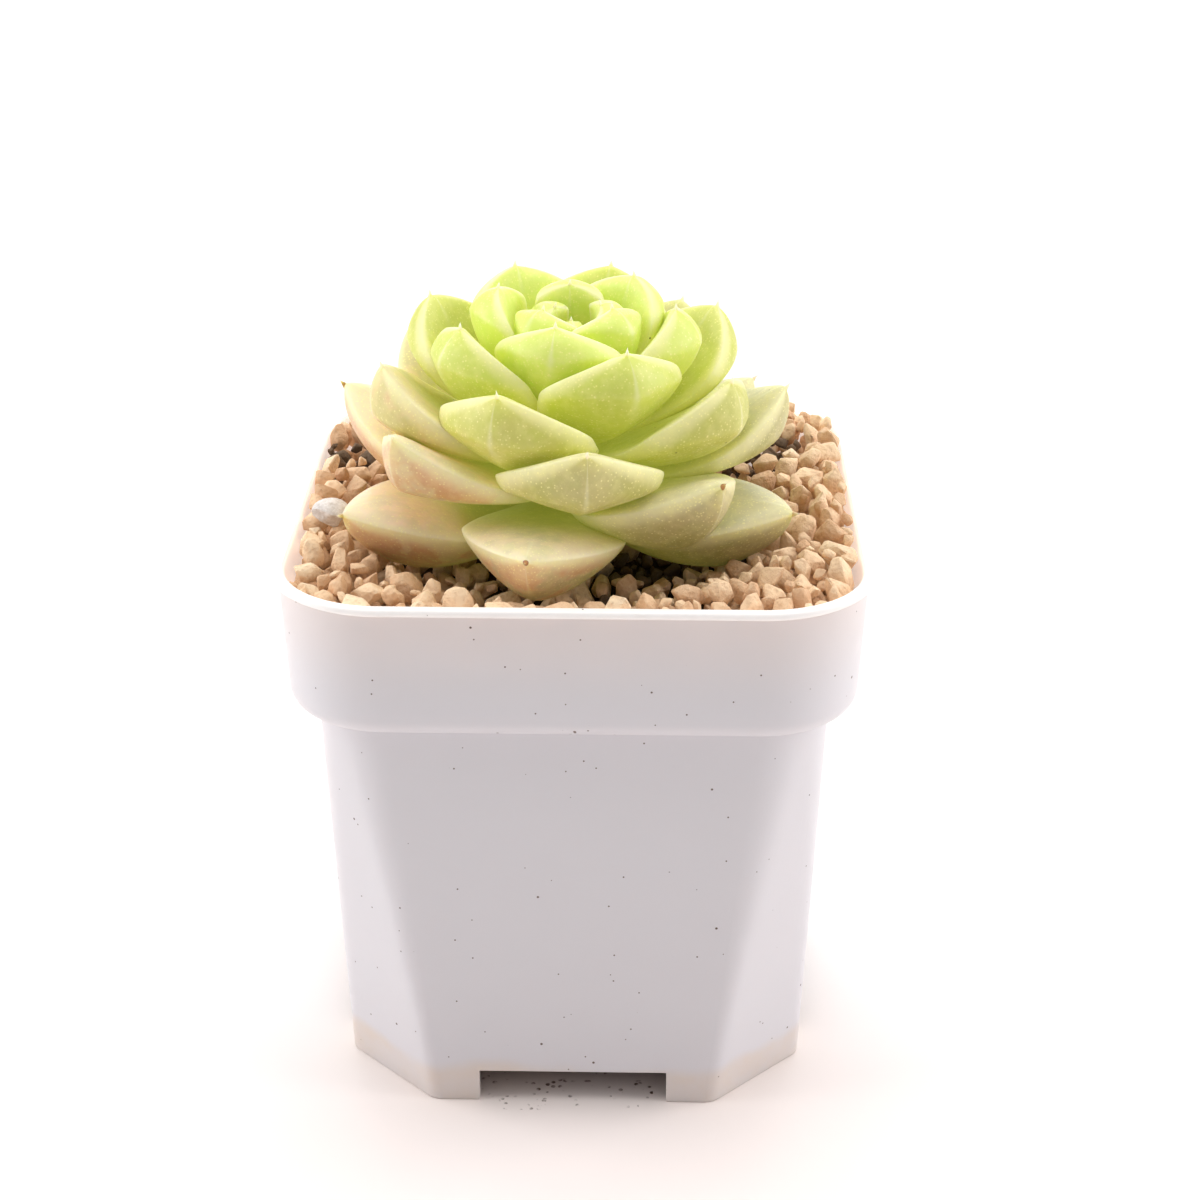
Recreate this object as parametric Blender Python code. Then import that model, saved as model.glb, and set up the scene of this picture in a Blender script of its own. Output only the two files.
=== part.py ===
"""A small potted rosette succulent.

A square plastic nursery pot with a banded rim, chamfered lower corners and four feet holds potting
soil, a top dressing of clay grit and a succulent. The plant is a short stem that carries thick keeled
leaves. Successive leaves stand one golden angle apart, and they nest in shells: every leaf fills the
space between a shell above its middle surface and a shell below it, so neighbours never meet.

Sizes are in millimetres. +Z is up, the origin is on the table under the middle of the pot, and the
front of the pot faces -Y.
"""

import math

import bmesh
import bpy
import numpy as np
from mathutils import Matrix, Vector

MM = 0.001
GAP = 0.3  # clearance between pieces that rest on or fit in each other

# ------------------------------------------------------------------ pot
POT_HEIGHT = 70.0
LIP_WIDTH_ACROSS = 70.0  # outside, over the lip
OPENING_INSET = 1.5  # from the outside of the lip to the opening
LIP_HEIGHT = 1.0
LIP_OVERHANG = 0.8  # how far the lip stands out over the band
LIP_ROUNDING = 0.4
BAND_HEIGHT = 15.8  # below the lip
BAND_DRAFT = 0.7  # how much narrower the band is at its foot, each side
BAND_FOOT_RADIUS = 2.2
RIM_CORNER_RADIUS = 13.4
BODY_TOP_HALF = 30.2
BODY_FOOT_HALF = 28.6
BODY_TOP_CORNER = 8.4
BODY_FOOT_CHAMFER = 12.2
WALL = 1.4
FLOOR_THICKNESS = 1.6
NOTCH_HEIGHT = 4.4
NOTCH_WIDTH = 23.2
NOTCH_TO_FLOOR = 0.4  # wall left between a notch and the floor's underside
CENTRE_DRAIN_RADIUS = 4.0
DRAIN_RADIUS = 2.4
DRAIN_RING_RADIUS = 14.0
DRAIN_COUNT = 8
CORNER_STEPS = 5
BODY_RINGS = 5

# ------------------------------------------------------------------ filling
SOIL_BELOW_LIP = 9.0
SOIL_CROWN = 0.8  # how much the soil rises towards the stem
GRIT_BELOW_LIP = 1.9  # at the front
GRIT_BACK_RISE = 1.7
GRIT_MIDDLE_DIP = 4.3
GRIT_DIP_RADIUS, GRIT_DIP_END = 21.0, 31.0
GRIT_RINGS = 5
GRIT_SPOKES = 40
GRIT_BUMP = 0.45
PUMICE_SIZE = 4.4
PUMICE_PLACE = (-29.5, -8.4)

# ------------------------------------------------------------------ plant (heights are above the lip)
PLANT_X, PLANT_Y = -1.4, -2.0
PIVOT_HEIGHT = 5.0  # where the lean turns
LEAN_RIGHT_DEG = 1.5
LEAN_FRONT_DEG = 3.7
STEM_RADIUS = 3.2
STEM_FOOT = -22.0
STEM_SIDES = 16
ROOT_COLLAR_RADIUS = 4.0

FIRST_LEAF, LAST_LEAF = 2, 35
FIRST_AZIMUTH_DEG = 196.1
DIVERGENCE_DEG = 137.33
ROSETTE_RADIUS = 29.2
FULL_LEAF = 34.0  # the shell that reaches the rosette's full radius
CROWN_HEIGHT = 28.6
CROWN_DROP = 25.0
CROWN_POWER = 2.25
HEART_DIP = 5.5
HEART_SHELLS = 5.0
HEART_PINCH = 1.1  # how much nearer the axis the tips in the heart stand
BASE_TOP, BASE_DROP, BASE_POWER = 18.0, 17.0, 0.9
BLADE_HALF_WIDTH = 10.4
BLADE_BACK, BLADE_FACE = 5.3, 1.7  # thickness below and above the middle surface
INNER_HALF_ANGLE_DEG, OUTER_HALF_ANGLE_DEG = 50.0, 40.0  # the most that a leaf wraps round the stem
SHELL_CLEARANCE = 0.5  # left free between leaves, in shells
RELEASE = 9.0  # shells a radian by which a leaf swells again past its neighbour's margin
BOTTOM_LEAVES, HANGING_SHELLS = 8, 6.0  # the lowest leaves have room below them
MUCRO_LENGTH = 0.9
LEAF_RINGS = 8
LEAF_SIDE_STEPS = 5

# The turn in degrees and the shift in shells by which single leaves stray from the spiral.
STRAYS = {
    5: (5, 0.25),
    6: (0, -1),
    7: (3, -0.5),
    12: (0, -0.5),
    13: (4, 0.5),
    14: (0, 0.5),
    15: (0, -1),
    16: (3, 0),
    18: (5, 1),
    21: (8, 0),
    23: (-1, 0.75),
    25: (-4, 0),
    26: (-3, -0.5),
    29: (-4, -0.75),
    31: (4, 1.5),
    33: (-6, 0.5),
    34: (1, 0),
}


def smooth_min(a, b, softness):
    """The smaller of two values, rounded where they cross."""
    return 0.5 * (a + b - np.sqrt((a - b) ** 2 + softness**2))


def ease(share):
    """Runs smoothly from 0 to 1 as the share does."""
    share = min(max(share, 0.0), 1.0)
    return share * share * (3 - 2 * share)


# ------------------------------------------------------------------ shells of the rosette
def shell_share(shell):
    return np.maximum(shell, 0.0) / FULL_LEAF


def tip_of_shell(shell):
    """Radius and height where leaves of this shell end."""
    share = shell_share(shell)
    quarter = math.pi / 2
    beyond = np.maximum(share - 1.0, 0.0)
    radius = ROSETTE_RADIUS * np.sin(quarter * np.minimum(share**1.15, 1.0)) + 2.0 * beyond
    radius = np.maximum(radius - HEART_PINCH * np.exp(-((shell / 3.5) ** 2)), 0.2)
    height = CROWN_HEIGHT - CROWN_DROP * share**CROWN_POWER
    return radius, height - HEART_DIP * np.exp(-((shell / HEART_SHELLS) ** 2))


def base_of_shell(shell):
    """Radius and height where leaves of this shell leave the stem."""
    height = BASE_TOP - BASE_DROP * shell_share(shell) ** BASE_POWER
    return np.full_like(height, STEM_RADIUS + GAP), height


def slopes_of_shell(shell):
    """Angles above the horizon at which a shell leaves the stem and ends, in radians."""
    share = shell_share(shell)
    at_base = 72.0 - 78.0 * share**0.8
    at_tip = 110.0 - 38.0 * share - 66.0 * share**3
    return np.radians(at_base), np.radians(at_tip)


def meridian(shell, along):
    """Radius and height of the point a share `along` the way from the stem to the tip on a shell."""
    base_r, base_z = base_of_shell(shell)
    tip_r, tip_z = tip_of_shell(shell)
    base_slope, tip_slope = slopes_of_shell(shell)
    reach = 0.36 * np.hypot(tip_r - base_r, tip_z - base_z)
    r = bezier(
        base_r, base_r + reach * np.cos(base_slope), tip_r - reach * np.cos(tip_slope), tip_r, along
    )
    z = bezier(
        base_z, base_z + reach * np.sin(base_slope), tip_z - reach * np.sin(tip_slope), tip_z, along
    )
    return r, z


def bezier(a, b, c, d, t):
    return a * (1 - t) ** 3 + 3 * b * t * (1 - t) ** 2 + 3 * c * t**2 * (1 - t) + d * t**3


# ------------------------------------------------------------------ one leaf
def leaf_size(number):
    """Size of a leaf as a share of a full grown one."""
    return 0.34 + 0.66 * math.sin(math.pi / 2 * min(1.0, number / 22.0) ** 0.8)


def blade_outline(number, along):
    """Half width of a blade as a share of its widest, from a broad base to a pointed tip.

    Old leaves taper for longer.
    """
    old = min(max((number - 20) / 8.0, 0.0), 1.0)
    widest = 0.72 - 0.1 * old
    rise = 0.5 + 0.5 * math.sin(math.pi / 2 * min(along / widest, 1.0))
    past = min(max((along - widest) / (1.0 - widest), 0.0), 1.0)
    return rise * (1.0 - past ** (1.7 - 0.3 * old)) ** 0.82


def blade_fullness(along):
    """Thickness of a blade as a share of its thickest."""
    rise = 0.6 + 0.4 * math.sin(math.pi / 2 * min(along / 0.6, 1.0))
    past = max((along - 0.6) / 0.4, 0.0)
    return rise * (1.0 - past**2.6) ** 0.62


def shell_spacing(shell, along):
    """Distance between neighbouring shells there, in millimetres a shell."""
    r0, z0 = meridian(shell - 0.5, along)
    r1, z1 = meridian(shell + 0.5, along)
    ra, za = meridian(shell, along - 0.02)
    rb, zb = meridian(shell, along + 0.02)
    run = np.hypot(rb - ra, zb - za)
    return np.abs((r1 - r0) * (zb - za) - (z1 - z0) * (rb - ra)) / run


def widest_angle(number):
    share = min(max((number - 8) / 14.0, 0.0), 1.0)
    return math.radians(INNER_HALF_ANGLE_DEG + (OUTER_HALF_ANGLE_DEG - INNER_HALF_ANGLE_DEG) * share)


def shells_free(number, angle):
    """How many shells a leaf may fill on one side of its middle surface, at an angle from its middle.

    It falls off evenly to the margin, so that two leaves that overlap side by side share the space
    between them: three leaves on is the nearest neighbour in angle for its distance in shells.
    """
    wrap = widest_angle(number)
    to_third = abs((3 * DIVERGENCE_DEG + 180.0) % 360.0 - 180.0)
    fall = (3.0 - SHELL_CLEARANCE) / (2 * wrap - math.radians(to_third))
    return np.maximum(fall * (wrap - np.abs(angle)), 0.0)


def shell_of(number):
    return number + STRAYS.get(number, (0.0, 0.0))[1]


def azimuth_of(number):
    turn = STRAYS.get(number, (0.0, 0.0))[0]
    return math.radians(FIRST_AZIMUTH_DEG - DIVERGENCE_DEG * number + turn)


def half_angle_of(number, along):
    """Half the angle round the stem that a blade takes up there."""
    radius = meridian(np.array([shell_of(number)]), along)[0][0]
    half_width = BLADE_HALF_WIDTH * leaf_size(number) * blade_outline(number, along)
    return max(smooth_min(half_width / radius, widest_angle(number), 0.1), 0.004)


def wished_fill(number, along, angle):
    """Shells that a leaf would fill above and below its middle surface if it grew alone."""
    side = np.minimum(np.abs(angle) / half_angle_of(number, along), 1.0)
    spacing = shell_spacing(np.full_like(angle, shell_of(number)), along)
    full = blade_fullness(along) * leaf_size(number) / spacing
    free = shells_free(number, angle)
    hang = free + (HANGING_SHELLS if number > LAST_LEAF - BOTTOM_LEAVES else 0.0)
    face = full * BLADE_FACE * (1 - side**2.2)
    back = full * BLADE_BACK * (1 - side**1.6) ** 0.85
    inside = side < 1.0
    face = np.where(inside, np.maximum(smooth_min(face, free, 0.1), 0.0), 0.0)
    back = np.where(inside, np.maximum(smooth_min(back, hang, 0.1), 0.0), 0.0)
    return face, back


def shared_fill(number, along, angle):
    """Shells that a leaf fills above and below its middle surface, pressed against its neighbours.

    Where two leaves would meet, both shrink by the same share, down to a clearance between them.
    """
    face, back = wished_fill(number, along, angle)
    pressed_face, pressed_back = face.copy(), back.copy()
    for other in range(FIRST_LEAF, LAST_LEAF + 1):
        apart = azimuth_of(number) + angle - azimuth_of(other)
        apart = (apart + math.pi) % (2 * math.pi) - math.pi
        past_margin = np.maximum(np.abs(apart) - half_angle_of(other, along), 0.0)
        if other == number or past_margin.min() > 0.5:
            continue
        other_face, other_back = wished_fill(other, along, apart)
        space = shell_of(other) - shell_of(number)
        ours, theirs = (back, other_face) if space > 0 else (face, other_back)
        share = (abs(space) - SHELL_CLEARANCE) / np.maximum(ours + theirs, 1e-6)
        pressed = ours * np.clip(share, 0.0, 1.0) + RELEASE * past_margin
        if space > 0:
            pressed_back = np.minimum(pressed_back, pressed)
        else:
            pressed_face = np.minimum(pressed_face, pressed)
    return pressed_face, pressed_back


def leaf_ring(number, along):
    """The upper and lower half of a ring of points round a leaf that points along +X."""
    side = np.linspace(-1.0, 1.0, LEAF_SIDE_STEPS * 2 + 1)
    angle = side * half_angle_of(number, along)
    face, back = shared_fill(number, along, angle)
    above = cylinder_points(*meridian(shell_of(number) - face, along), angle)
    below = cylinder_points(*meridian(shell_of(number) + back, along), angle)
    return above, below


def cylinder_points(radius, height, azimuth):
    return np.stack([radius * np.cos(azimuth), radius * np.sin(azimuth), height], axis=-1)


def leaf_mesh(number):
    """Vertices and faces of one leaf, closed, with its tip drawn out to a short point."""
    stations = 1.0 - (1.0 - np.linspace(0.0, 0.985, LEAF_RINGS)) ** 1.25
    vertices, faces = [], []
    count = LEAF_SIDE_STEPS * 2 + 1
    for along in stations:
        above, below = leaf_ring(number, along)
        vertices += [*above, *below[-2:0:-1]]
    around = 2 * count - 2
    for ring in range(LEAF_RINGS - 1):
        for i in range(around):
            j = (i + 1) % around
            a, b = ring * around, (ring + 1) * around
            faces.append((a + i, b + i, b + j, a + j))
    for i in range(count - 1):  # the base follows the stem, from margin to margin
        low, low_next = (around - i) % around, (around - i - 1) % around
        if i == 0:
            faces.append((0, 1, low_next))
        elif i == count - 2:
            faces.append((i, i + 1, low))
        else:
            faces.append((i, i + 1, low_next, low))
    shell = np.array([shell_of(number)])
    tip_r, tip_z = meridian(shell, 1.0)
    before_r, before_z = meridian(shell, 0.96)
    run = math.hypot(tip_r[0] - before_r[0], tip_z[0] - before_z[0])
    radius = tip_r[0] + MUCRO_LENGTH * (tip_r[0] - before_r[0]) / run
    height = tip_z[0] + MUCRO_LENGTH * (tip_z[0] - before_z[0]) / run
    vertices.append(cylinder_points(radius, height, 0.0))
    last = (LEAF_RINGS - 1) * around
    faces += [(last + i, len(vertices) - 1, last + (i + 1) % around) for i in range(around)]
    return vertices, faces


# ------------------------------------------------------------------ pieces
def clear_scene():
    for obj in list(bpy.data.objects):
        bpy.data.objects.remove(obj, do_unlink=True)


def material(name, colour, roughness, subsurface=0.0):
    made = bpy.data.materials.new(name)
    made.use_nodes = True
    shader = made.node_tree.nodes["Principled BSDF"]
    shader.inputs["Base Color"].default_value = (*colour, 1.0)
    shader.inputs["Roughness"].default_value = roughness
    shader.inputs["Metallic"].default_value = 0.0
    shader.inputs["Subsurface Weight"].default_value = subsurface
    made.diffuse_color = (*colour, 1.0)
    return made


def object_from(name, mesh_data, finish, parent=None):
    mesh = bpy.data.meshes.new(name)
    mesh_data.to_mesh(mesh)
    mesh_data.free()
    mesh.materials.append(finish)
    mesh.shade_smooth()
    mesh.set_sharp_from_angle(angle=math.radians(32))
    obj = bpy.data.objects.new(name, mesh)
    bpy.context.scene.collection.objects.link(obj)
    obj.parent = parent
    return obj


def loft(rings, cap_first=True, cap_last=True):
    """A closed shape through rings that have the same number of points, in millimetres."""
    shape = bmesh.new()
    loops = [[shape.verts.new(Vector(point) * MM) for point in ring] for ring in rings]
    for lower, upper in zip(loops, loops[1:]):
        for i in range(len(lower)):
            j = (i + 1) % len(lower)
            shape.faces.new((lower[i], lower[j], upper[j], upper[i]))
    if cap_first:
        shape.faces.new(loops[0][::-1])
    if cap_last:
        shape.faces.new(loops[-1])
    bmesh.ops.recalc_face_normals(shape, faces=shape.faces)
    return shape


def subtract(obj, cutter):
    cutter.hide_render = True
    cutter.display_type = "WIRE"
    cut = obj.modifiers.new("cut " + cutter.name, "BOOLEAN")
    cut.operation = "DIFFERENCE"
    cut.solver = "EXACT"
    cut.object = cutter


def square_ring(half, corner, height, roundness=1.0):
    """A square with its corners rounded (roundness 1) or cut straight across (roundness 0)."""
    points = []
    for quarter in range(4):
        for step in range(CORNER_STEPS + 1):
            share = step / CORNER_STEPS
            angle = math.pi / 2 * share
            arc = Vector((math.cos(angle) - 1, math.sin(angle) - 1)) * corner + Vector((half, half))
            straight = Vector((half - corner * share, half - corner * (1 - share)))
            point = straight.lerp(arc, roundness)
            point.rotate(Matrix.Rotation(quarter * math.pi / 2, 2))
            points.append((point.x, point.y, height))
    return points


def band_foot_height():
    return POT_HEIGHT - LIP_HEIGHT - BAND_HEIGHT


def floor_underside():
    return NOTCH_HEIGHT + NOTCH_TO_FLOOR


def body_ring(share, inset=0.0, height=None):
    """A ring round the pot's body, a share of the way from its foot to the band's foot."""
    half = BODY_FOOT_HALF + (BODY_TOP_HALF - BODY_FOOT_HALF) * share - inset
    corner = BODY_FOOT_CHAMFER + (BODY_TOP_CORNER - BODY_FOOT_CHAMFER) * share
    roundness = share**3
    corner -= inset * (roundness + (1 - roundness) * (2 - math.sqrt(2)))
    height = band_foot_height() * share if height is None else height
    return square_ring(half, corner, height, roundness)


def rim_ring(inset, height):
    """A ring round the rim, set in from the outside of the lip."""
    half = LIP_WIDTH_ACROSS / 2 - inset
    return square_ring(half, max(RIM_CORNER_RADIUS - inset, half / 4), height)


def make_pot(finish):
    """The moulded pot: body, banded rim with its lip, raised floor, four feet and drain holes."""
    top, foot = POT_HEIGHT, band_foot_height()
    lip_foot = top - LIP_HEIGHT
    floor_top = floor_underside() + FLOOR_THICKNESS
    shares = [ring / BODY_RINGS for ring in range(BODY_RINGS + 1)]
    outside = [body_ring(share) for share in shares]
    band_foot = LIP_OVERHANG + BAND_DRAFT
    radius = BAND_FOOT_RADIUS
    for step in range(4):
        angle = math.pi / 2 * step / 3
        inset = band_foot + radius * (1 - math.sin(angle))
        outside.append(rim_ring(inset, foot + radius * (1 - math.cos(angle))))
    outside += [
        rim_ring(LIP_OVERHANG, lip_foot),
        rim_ring(LIP_ROUNDING / 2, lip_foot + LIP_ROUNDING / 4),
        rim_ring(0.0, lip_foot + LIP_ROUNDING),
        rim_ring(0.0, top - LIP_ROUNDING),
        rim_ring(LIP_ROUNDING / 3, top - LIP_ROUNDING / 3),
        rim_ring(LIP_ROUNDING, top),
    ]
    step_height = foot + WALL
    inside = [
        rim_ring(OPENING_INSET - LIP_ROUNDING / 2, top),
        rim_ring(OPENING_INSET, top - LIP_ROUNDING),
        rim_ring(LIP_OVERHANG + BAND_DRAFT + WALL, step_height),
        body_ring(1.0, inset=WALL, height=step_height),
    ]
    for share in reversed(shares[1:-1]):
        inside.append(body_ring(share, inset=WALL))
    inside.append(body_ring(floor_top / foot, inset=WALL, height=floor_top))
    pot = object_from("pot", loft(outside + inside), finish)
    under = loft(
        [
            body_ring(0.0, inset=WALL, height=-5.0),
            body_ring(0.0, inset=WALL, height=0.0),
            body_ring(floor_underside() / foot, inset=WALL, height=floor_underside()),
        ]
    )
    subtract(pot, object_from("cutter_recess", under, finish))
    through = 1.5 * LIP_WIDTH_ACROSS
    for name, size in (("x", (through, NOTCH_WIDTH)), ("y", (NOTCH_WIDTH, through))):
        block = bmesh.new()
        bmesh.ops.create_cube(block, size=1.0)
        bmesh.ops.scale(block, vec=Vector((*size, 2 * NOTCH_HEIGHT)) * MM, verts=block.verts)
        subtract(pot, object_from("cutter_notch_" + name, block, finish))
    holes = [(0.0, 0.0, CENTRE_DRAIN_RADIUS)]
    for hole in range(DRAIN_COUNT):
        angle = 2 * math.pi * hole / DRAIN_COUNT
        x, y = DRAIN_RING_RADIUS * math.cos(angle), DRAIN_RING_RADIUS * math.sin(angle)
        holes.append((x, y, DRAIN_RADIUS))
    for hole, (x, y, radius) in enumerate(holes):
        drill = bmesh.new()
        bmesh.ops.create_cone(
            drill,
            cap_ends=True,
            segments=12,
            radius1=radius * MM,
            radius2=radius * MM,
            depth=4 * FLOOR_THICKNESS * MM,
        )
        drill = object_from(f"cutter_drain_{hole}", drill, finish)
        drill.location = Vector((x, y, floor_underside() + FLOOR_THICKNESS / 2)) * MM
        subtract(pot, drill)
    return pot


def soil_top():
    return POT_HEIGHT - SOIL_BELOW_LIP


def inner_inset(height):
    """How far the rim's inner face is set in from the outside of the lip at this height."""
    foot = LIP_OVERHANG + BAND_DRAFT + WALL
    ledge = band_foot_height() + WALL
    share = (height - ledge) / (POT_HEIGHT - LIP_ROUNDING - ledge)
    return foot + (OPENING_INSET - foot) * share


def make_soil(finish, bore):
    """The soil that fills the pot to just below the grit, with the stem's foot in it."""
    foot, ledge = band_foot_height(), band_foot_height() + WALL + GAP
    floor_top = floor_underside() + FLOOR_THICKNESS + GAP
    rings = [body_ring(floor_top / foot, inset=WALL + GAP, height=floor_top)]
    for ring in range(2, BODY_RINGS):
        rings.append(body_ring(ring / BODY_RINGS, inset=WALL + GAP))
    rings.append(body_ring(1.0, inset=WALL + GAP, height=ledge))
    for height in (ledge, soil_top()):
        rings.append(rim_ring(inner_inset(height) + GAP, height))
    half_way = LIP_WIDTH_ACROSS / 4
    rings.append(rim_ring(half_way, soil_top() + SOIL_CROWN))
    soil = object_from("potting_soil", loft(rings), finish)
    subtract(soil, bore)
    return soil


def rounded_square_reach(half, corner, angle):
    """Distance from the middle of a rounded square to its edge in a direction."""
    along, across = sorted((abs(math.cos(angle)), abs(math.sin(angle))), reverse=True)
    straight = half / along
    if straight * across <= half - corner:
        return straight
    centre = half - corner
    towards = centre * (along + across)
    return towards + math.sqrt(towards**2 - 2 * centre**2 + corner**2)


def grit_level(x, y):
    """Height of the top dressing, without its bumps: heaped up towards the back, low in the middle."""
    out = math.hypot(x - PLANT_X, y - PLANT_Y) - GRIT_DIP_RADIUS
    dip = GRIT_MIDDLE_DIP * (1 - ease(out / (GRIT_DIP_END - GRIT_DIP_RADIUS)))
    rise = GRIT_BACK_RISE * ease(0.5 + y / LIP_WIDTH_ACROSS)
    return POT_HEIGHT - GRIT_BELOW_LIP + rise - dip


def make_grit(finish, bore):
    """The top dressing of clay grit, as one bumpy layer from the pot's wall to the stem."""
    bottom = soil_top() + SOIL_CROWN + GAP
    rings = []
    for ring in range(GRIT_RINGS + 1):
        share = 1 - ring / (GRIT_RINGS + 0.6)
        points = []
        for spoke in range(GRIT_SPOKES):
            angle = 2 * math.pi * spoke / GRIT_SPOKES
            inset = inner_inset(bottom) + GAP
            half, corner = LIP_WIDTH_ACROSS / 2 - inset, RIM_CORNER_RADIUS - inset
            reach = rounded_square_reach(half, corner, angle) * share
            x, y = reach * math.cos(angle), reach * math.sin(angle)
            bump = math.sin(7.3 * spoke + 2.1 * ring) * math.cos(3.7 * ring + 1.9 * spoke)
            points.append((x, y, grit_level(x, y) + GRIT_BUMP * bump))
        rings.append(points)
    lowest = [(x, y, bottom) for x, y, _ in rings[0]]
    middle = [(x, y, grit_level(0.0, 0.0)) for x, y, _ in rings[-1]]
    grit = object_from("top_dressing", loft([lowest, *rings[:-1], middle]), finish)
    subtract(grit, bore)
    return grit


def make_stone(name, place, size, finish, turn):
    """A worn angular grain that lies on the top dressing."""
    stone = bmesh.new()
    bmesh.ops.create_icosphere(stone, subdivisions=2, radius=size / 2 * MM)
    for vertex in stone.verts:
        x, y, z = vertex.co / MM
        dent = 0.12 * math.sin(2.3 * x + turn) + 0.1 * math.cos(2.9 * y - turn)
        vertex.co *= 1 + dent + 0.08 * math.sin(3.1 * z)
        vertex.co.z *= 0.72
    lowest = min(vertex.co.z for vertex in stone.verts) / MM
    obj = object_from(name, stone, finish)
    obj.location = Vector((*place, grit_level(*place) + GRIT_BUMP + GAP - lowest)) * MM
    obj.rotation_euler.z = turn
    return obj


def round_ring(radius, height):
    """A ring round the stem's axis."""
    turns = [2 * math.pi * side / STEM_SIDES for side in range(STEM_SIDES)]
    return [(radius * math.cos(turn), radius * math.sin(turn), height) for turn in turns]


def stem_rings(clearance=0.0):
    """The stem's outline in the plant's frame, from its foot in the soil to the shoot's tip."""
    leaves_start = BASE_TOP - BASE_DROP
    shoulder = BASE_TOP - 3.0
    return [
        round_ring(ROOT_COLLAR_RADIUS * 0.5 + clearance, STEM_FOOT - clearance),
        round_ring(ROOT_COLLAR_RADIUS + clearance, STEM_FOOT + 6.0),
        round_ring(ROOT_COLLAR_RADIUS + clearance, leaves_start - 6.0),
        round_ring(STEM_RADIUS + clearance, leaves_start - 3.0),
        round_ring(STEM_RADIUS + clearance, shoulder),
        round_ring(STEM_RADIUS * 0.7 + clearance, shoulder + 1.6),
        round_ring(STEM_RADIUS * 0.25 + clearance, BASE_TOP - 0.4),
    ]


def stand_on_plant(obj, plant, azimuth=0.0):
    """Puts a piece that was made round the stem's axis into the leaning plant."""
    obj.parent = plant
    obj.location = Vector((0.0, 0.0, -PIVOT_HEIGHT)) * MM
    obj.rotation_euler.z = azimuth


def make_leaf(number, finish, plant):
    vertices, faces = leaf_mesh(number)
    blade = bmesh.new()
    placed = [blade.verts.new(Vector(point) * MM) for point in vertices]
    for face in faces:
        blade.faces.new([placed[i] for i in face])
    bmesh.ops.recalc_face_normals(blade, faces=blade.faces)
    leaf = object_from(f"leaf_{number:02d}", blade, finish)
    stand_on_plant(leaf, plant, azimuth_of(number))
    return leaf


def leaf_colour(number):
    """Lime green in the heart, yellow green further out, peach on the oldest leaves."""
    stops = (
        (0, (0.50, 0.62, 0.16)),
        (18, (0.60, 0.66, 0.24)),
        (27, (0.66, 0.62, 0.30)),
        (35, (0.68, 0.52, 0.30)),
    )
    for (start, low), (end, high) in zip(stops, stops[1:]):
        if number <= end:
            share = (number - start) / (end - start)
            return tuple(a + (b - a) * share for a, b in zip(low, high))
    return stops[-1][1]


def main():
    clear_scene()
    plastic = material("white_plastic", (0.82, 0.80, 0.80), 0.32, subsurface=0.1)
    soil = material("dark_soil", (0.035, 0.022, 0.014), 0.95)
    clay = material("clay_grit", (0.52, 0.28, 0.13), 0.9)
    pumice = material("pumice", (0.62, 0.60, 0.56), 0.9)
    stalk = material("stem_green", (0.34, 0.36, 0.14), 0.6)

    make_pot(plastic)
    plant = bpy.data.objects.new("plant", None)
    bpy.context.scene.collection.objects.link(plant)
    plant.location = Vector((PLANT_X, PLANT_Y, POT_HEIGHT + PIVOT_HEIGHT)) * MM
    plant.rotation_euler = (math.radians(LEAN_FRONT_DEG), math.radians(LEAN_RIGHT_DEG), 0.0)

    stem = object_from("stem", loft(stem_rings()), stalk)
    stand_on_plant(stem, plant)
    bore = object_from("cutter_stem", loft(stem_rings(GAP)), stalk)
    stand_on_plant(bore, plant)
    make_soil(soil, bore)
    make_grit(clay, bore)

    make_stone("pumice_grain", PUMICE_PLACE, PUMICE_SIZE, pumice, turn=0.4)

    for number in range(FIRST_LEAF, LAST_LEAF + 1):
        finish = material(f"leaf_skin_{number:02d}", leaf_colour(number), 0.42, subsurface=0.15)
        make_leaf(number, finish, plant)


main()
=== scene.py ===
"""Visual model of a small rosette succulent in a square white nursery pot.

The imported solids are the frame. Every leaf, the pot, the grit and the pumice grain are made again
here as finer pieces that stand for their solids, in the same places. Sizes are in millimetres in the
classes below and turn into metres as each mesh is made.
"""

from __future__ import annotations

import logging
import math
from dataclasses import dataclass, field
from enum import Enum
from typing import Iterable, Sequence

import bmesh
import bpy
import numpy as np
from mathutils import Matrix, Vector
from mathutils.bvhtree import BVHTree


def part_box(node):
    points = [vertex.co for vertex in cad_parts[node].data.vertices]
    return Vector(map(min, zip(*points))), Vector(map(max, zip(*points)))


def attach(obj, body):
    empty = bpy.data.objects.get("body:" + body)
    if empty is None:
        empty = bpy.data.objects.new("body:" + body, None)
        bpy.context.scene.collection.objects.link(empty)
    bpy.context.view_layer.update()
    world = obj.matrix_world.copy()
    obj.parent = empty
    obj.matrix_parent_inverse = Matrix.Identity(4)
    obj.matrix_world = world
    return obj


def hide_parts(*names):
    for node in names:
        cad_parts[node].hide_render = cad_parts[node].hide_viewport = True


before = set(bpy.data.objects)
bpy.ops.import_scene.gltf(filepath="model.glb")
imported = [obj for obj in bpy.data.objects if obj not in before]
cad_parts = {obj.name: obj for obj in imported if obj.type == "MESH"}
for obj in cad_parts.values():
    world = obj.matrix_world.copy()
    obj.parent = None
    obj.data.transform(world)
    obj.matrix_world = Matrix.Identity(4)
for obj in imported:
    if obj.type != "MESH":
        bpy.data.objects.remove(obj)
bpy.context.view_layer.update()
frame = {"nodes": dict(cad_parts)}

MM = 0.001
BODY = "root"
LOG = logging.getLogger("succulent")

Colour = tuple[float, float, float]
Array = np.ndarray
Shape = bmesh.types.BMesh
Thing = bpy.types.Object
Material = bpy.types.Material
Socket = bpy.types.NodeSocket


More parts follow.
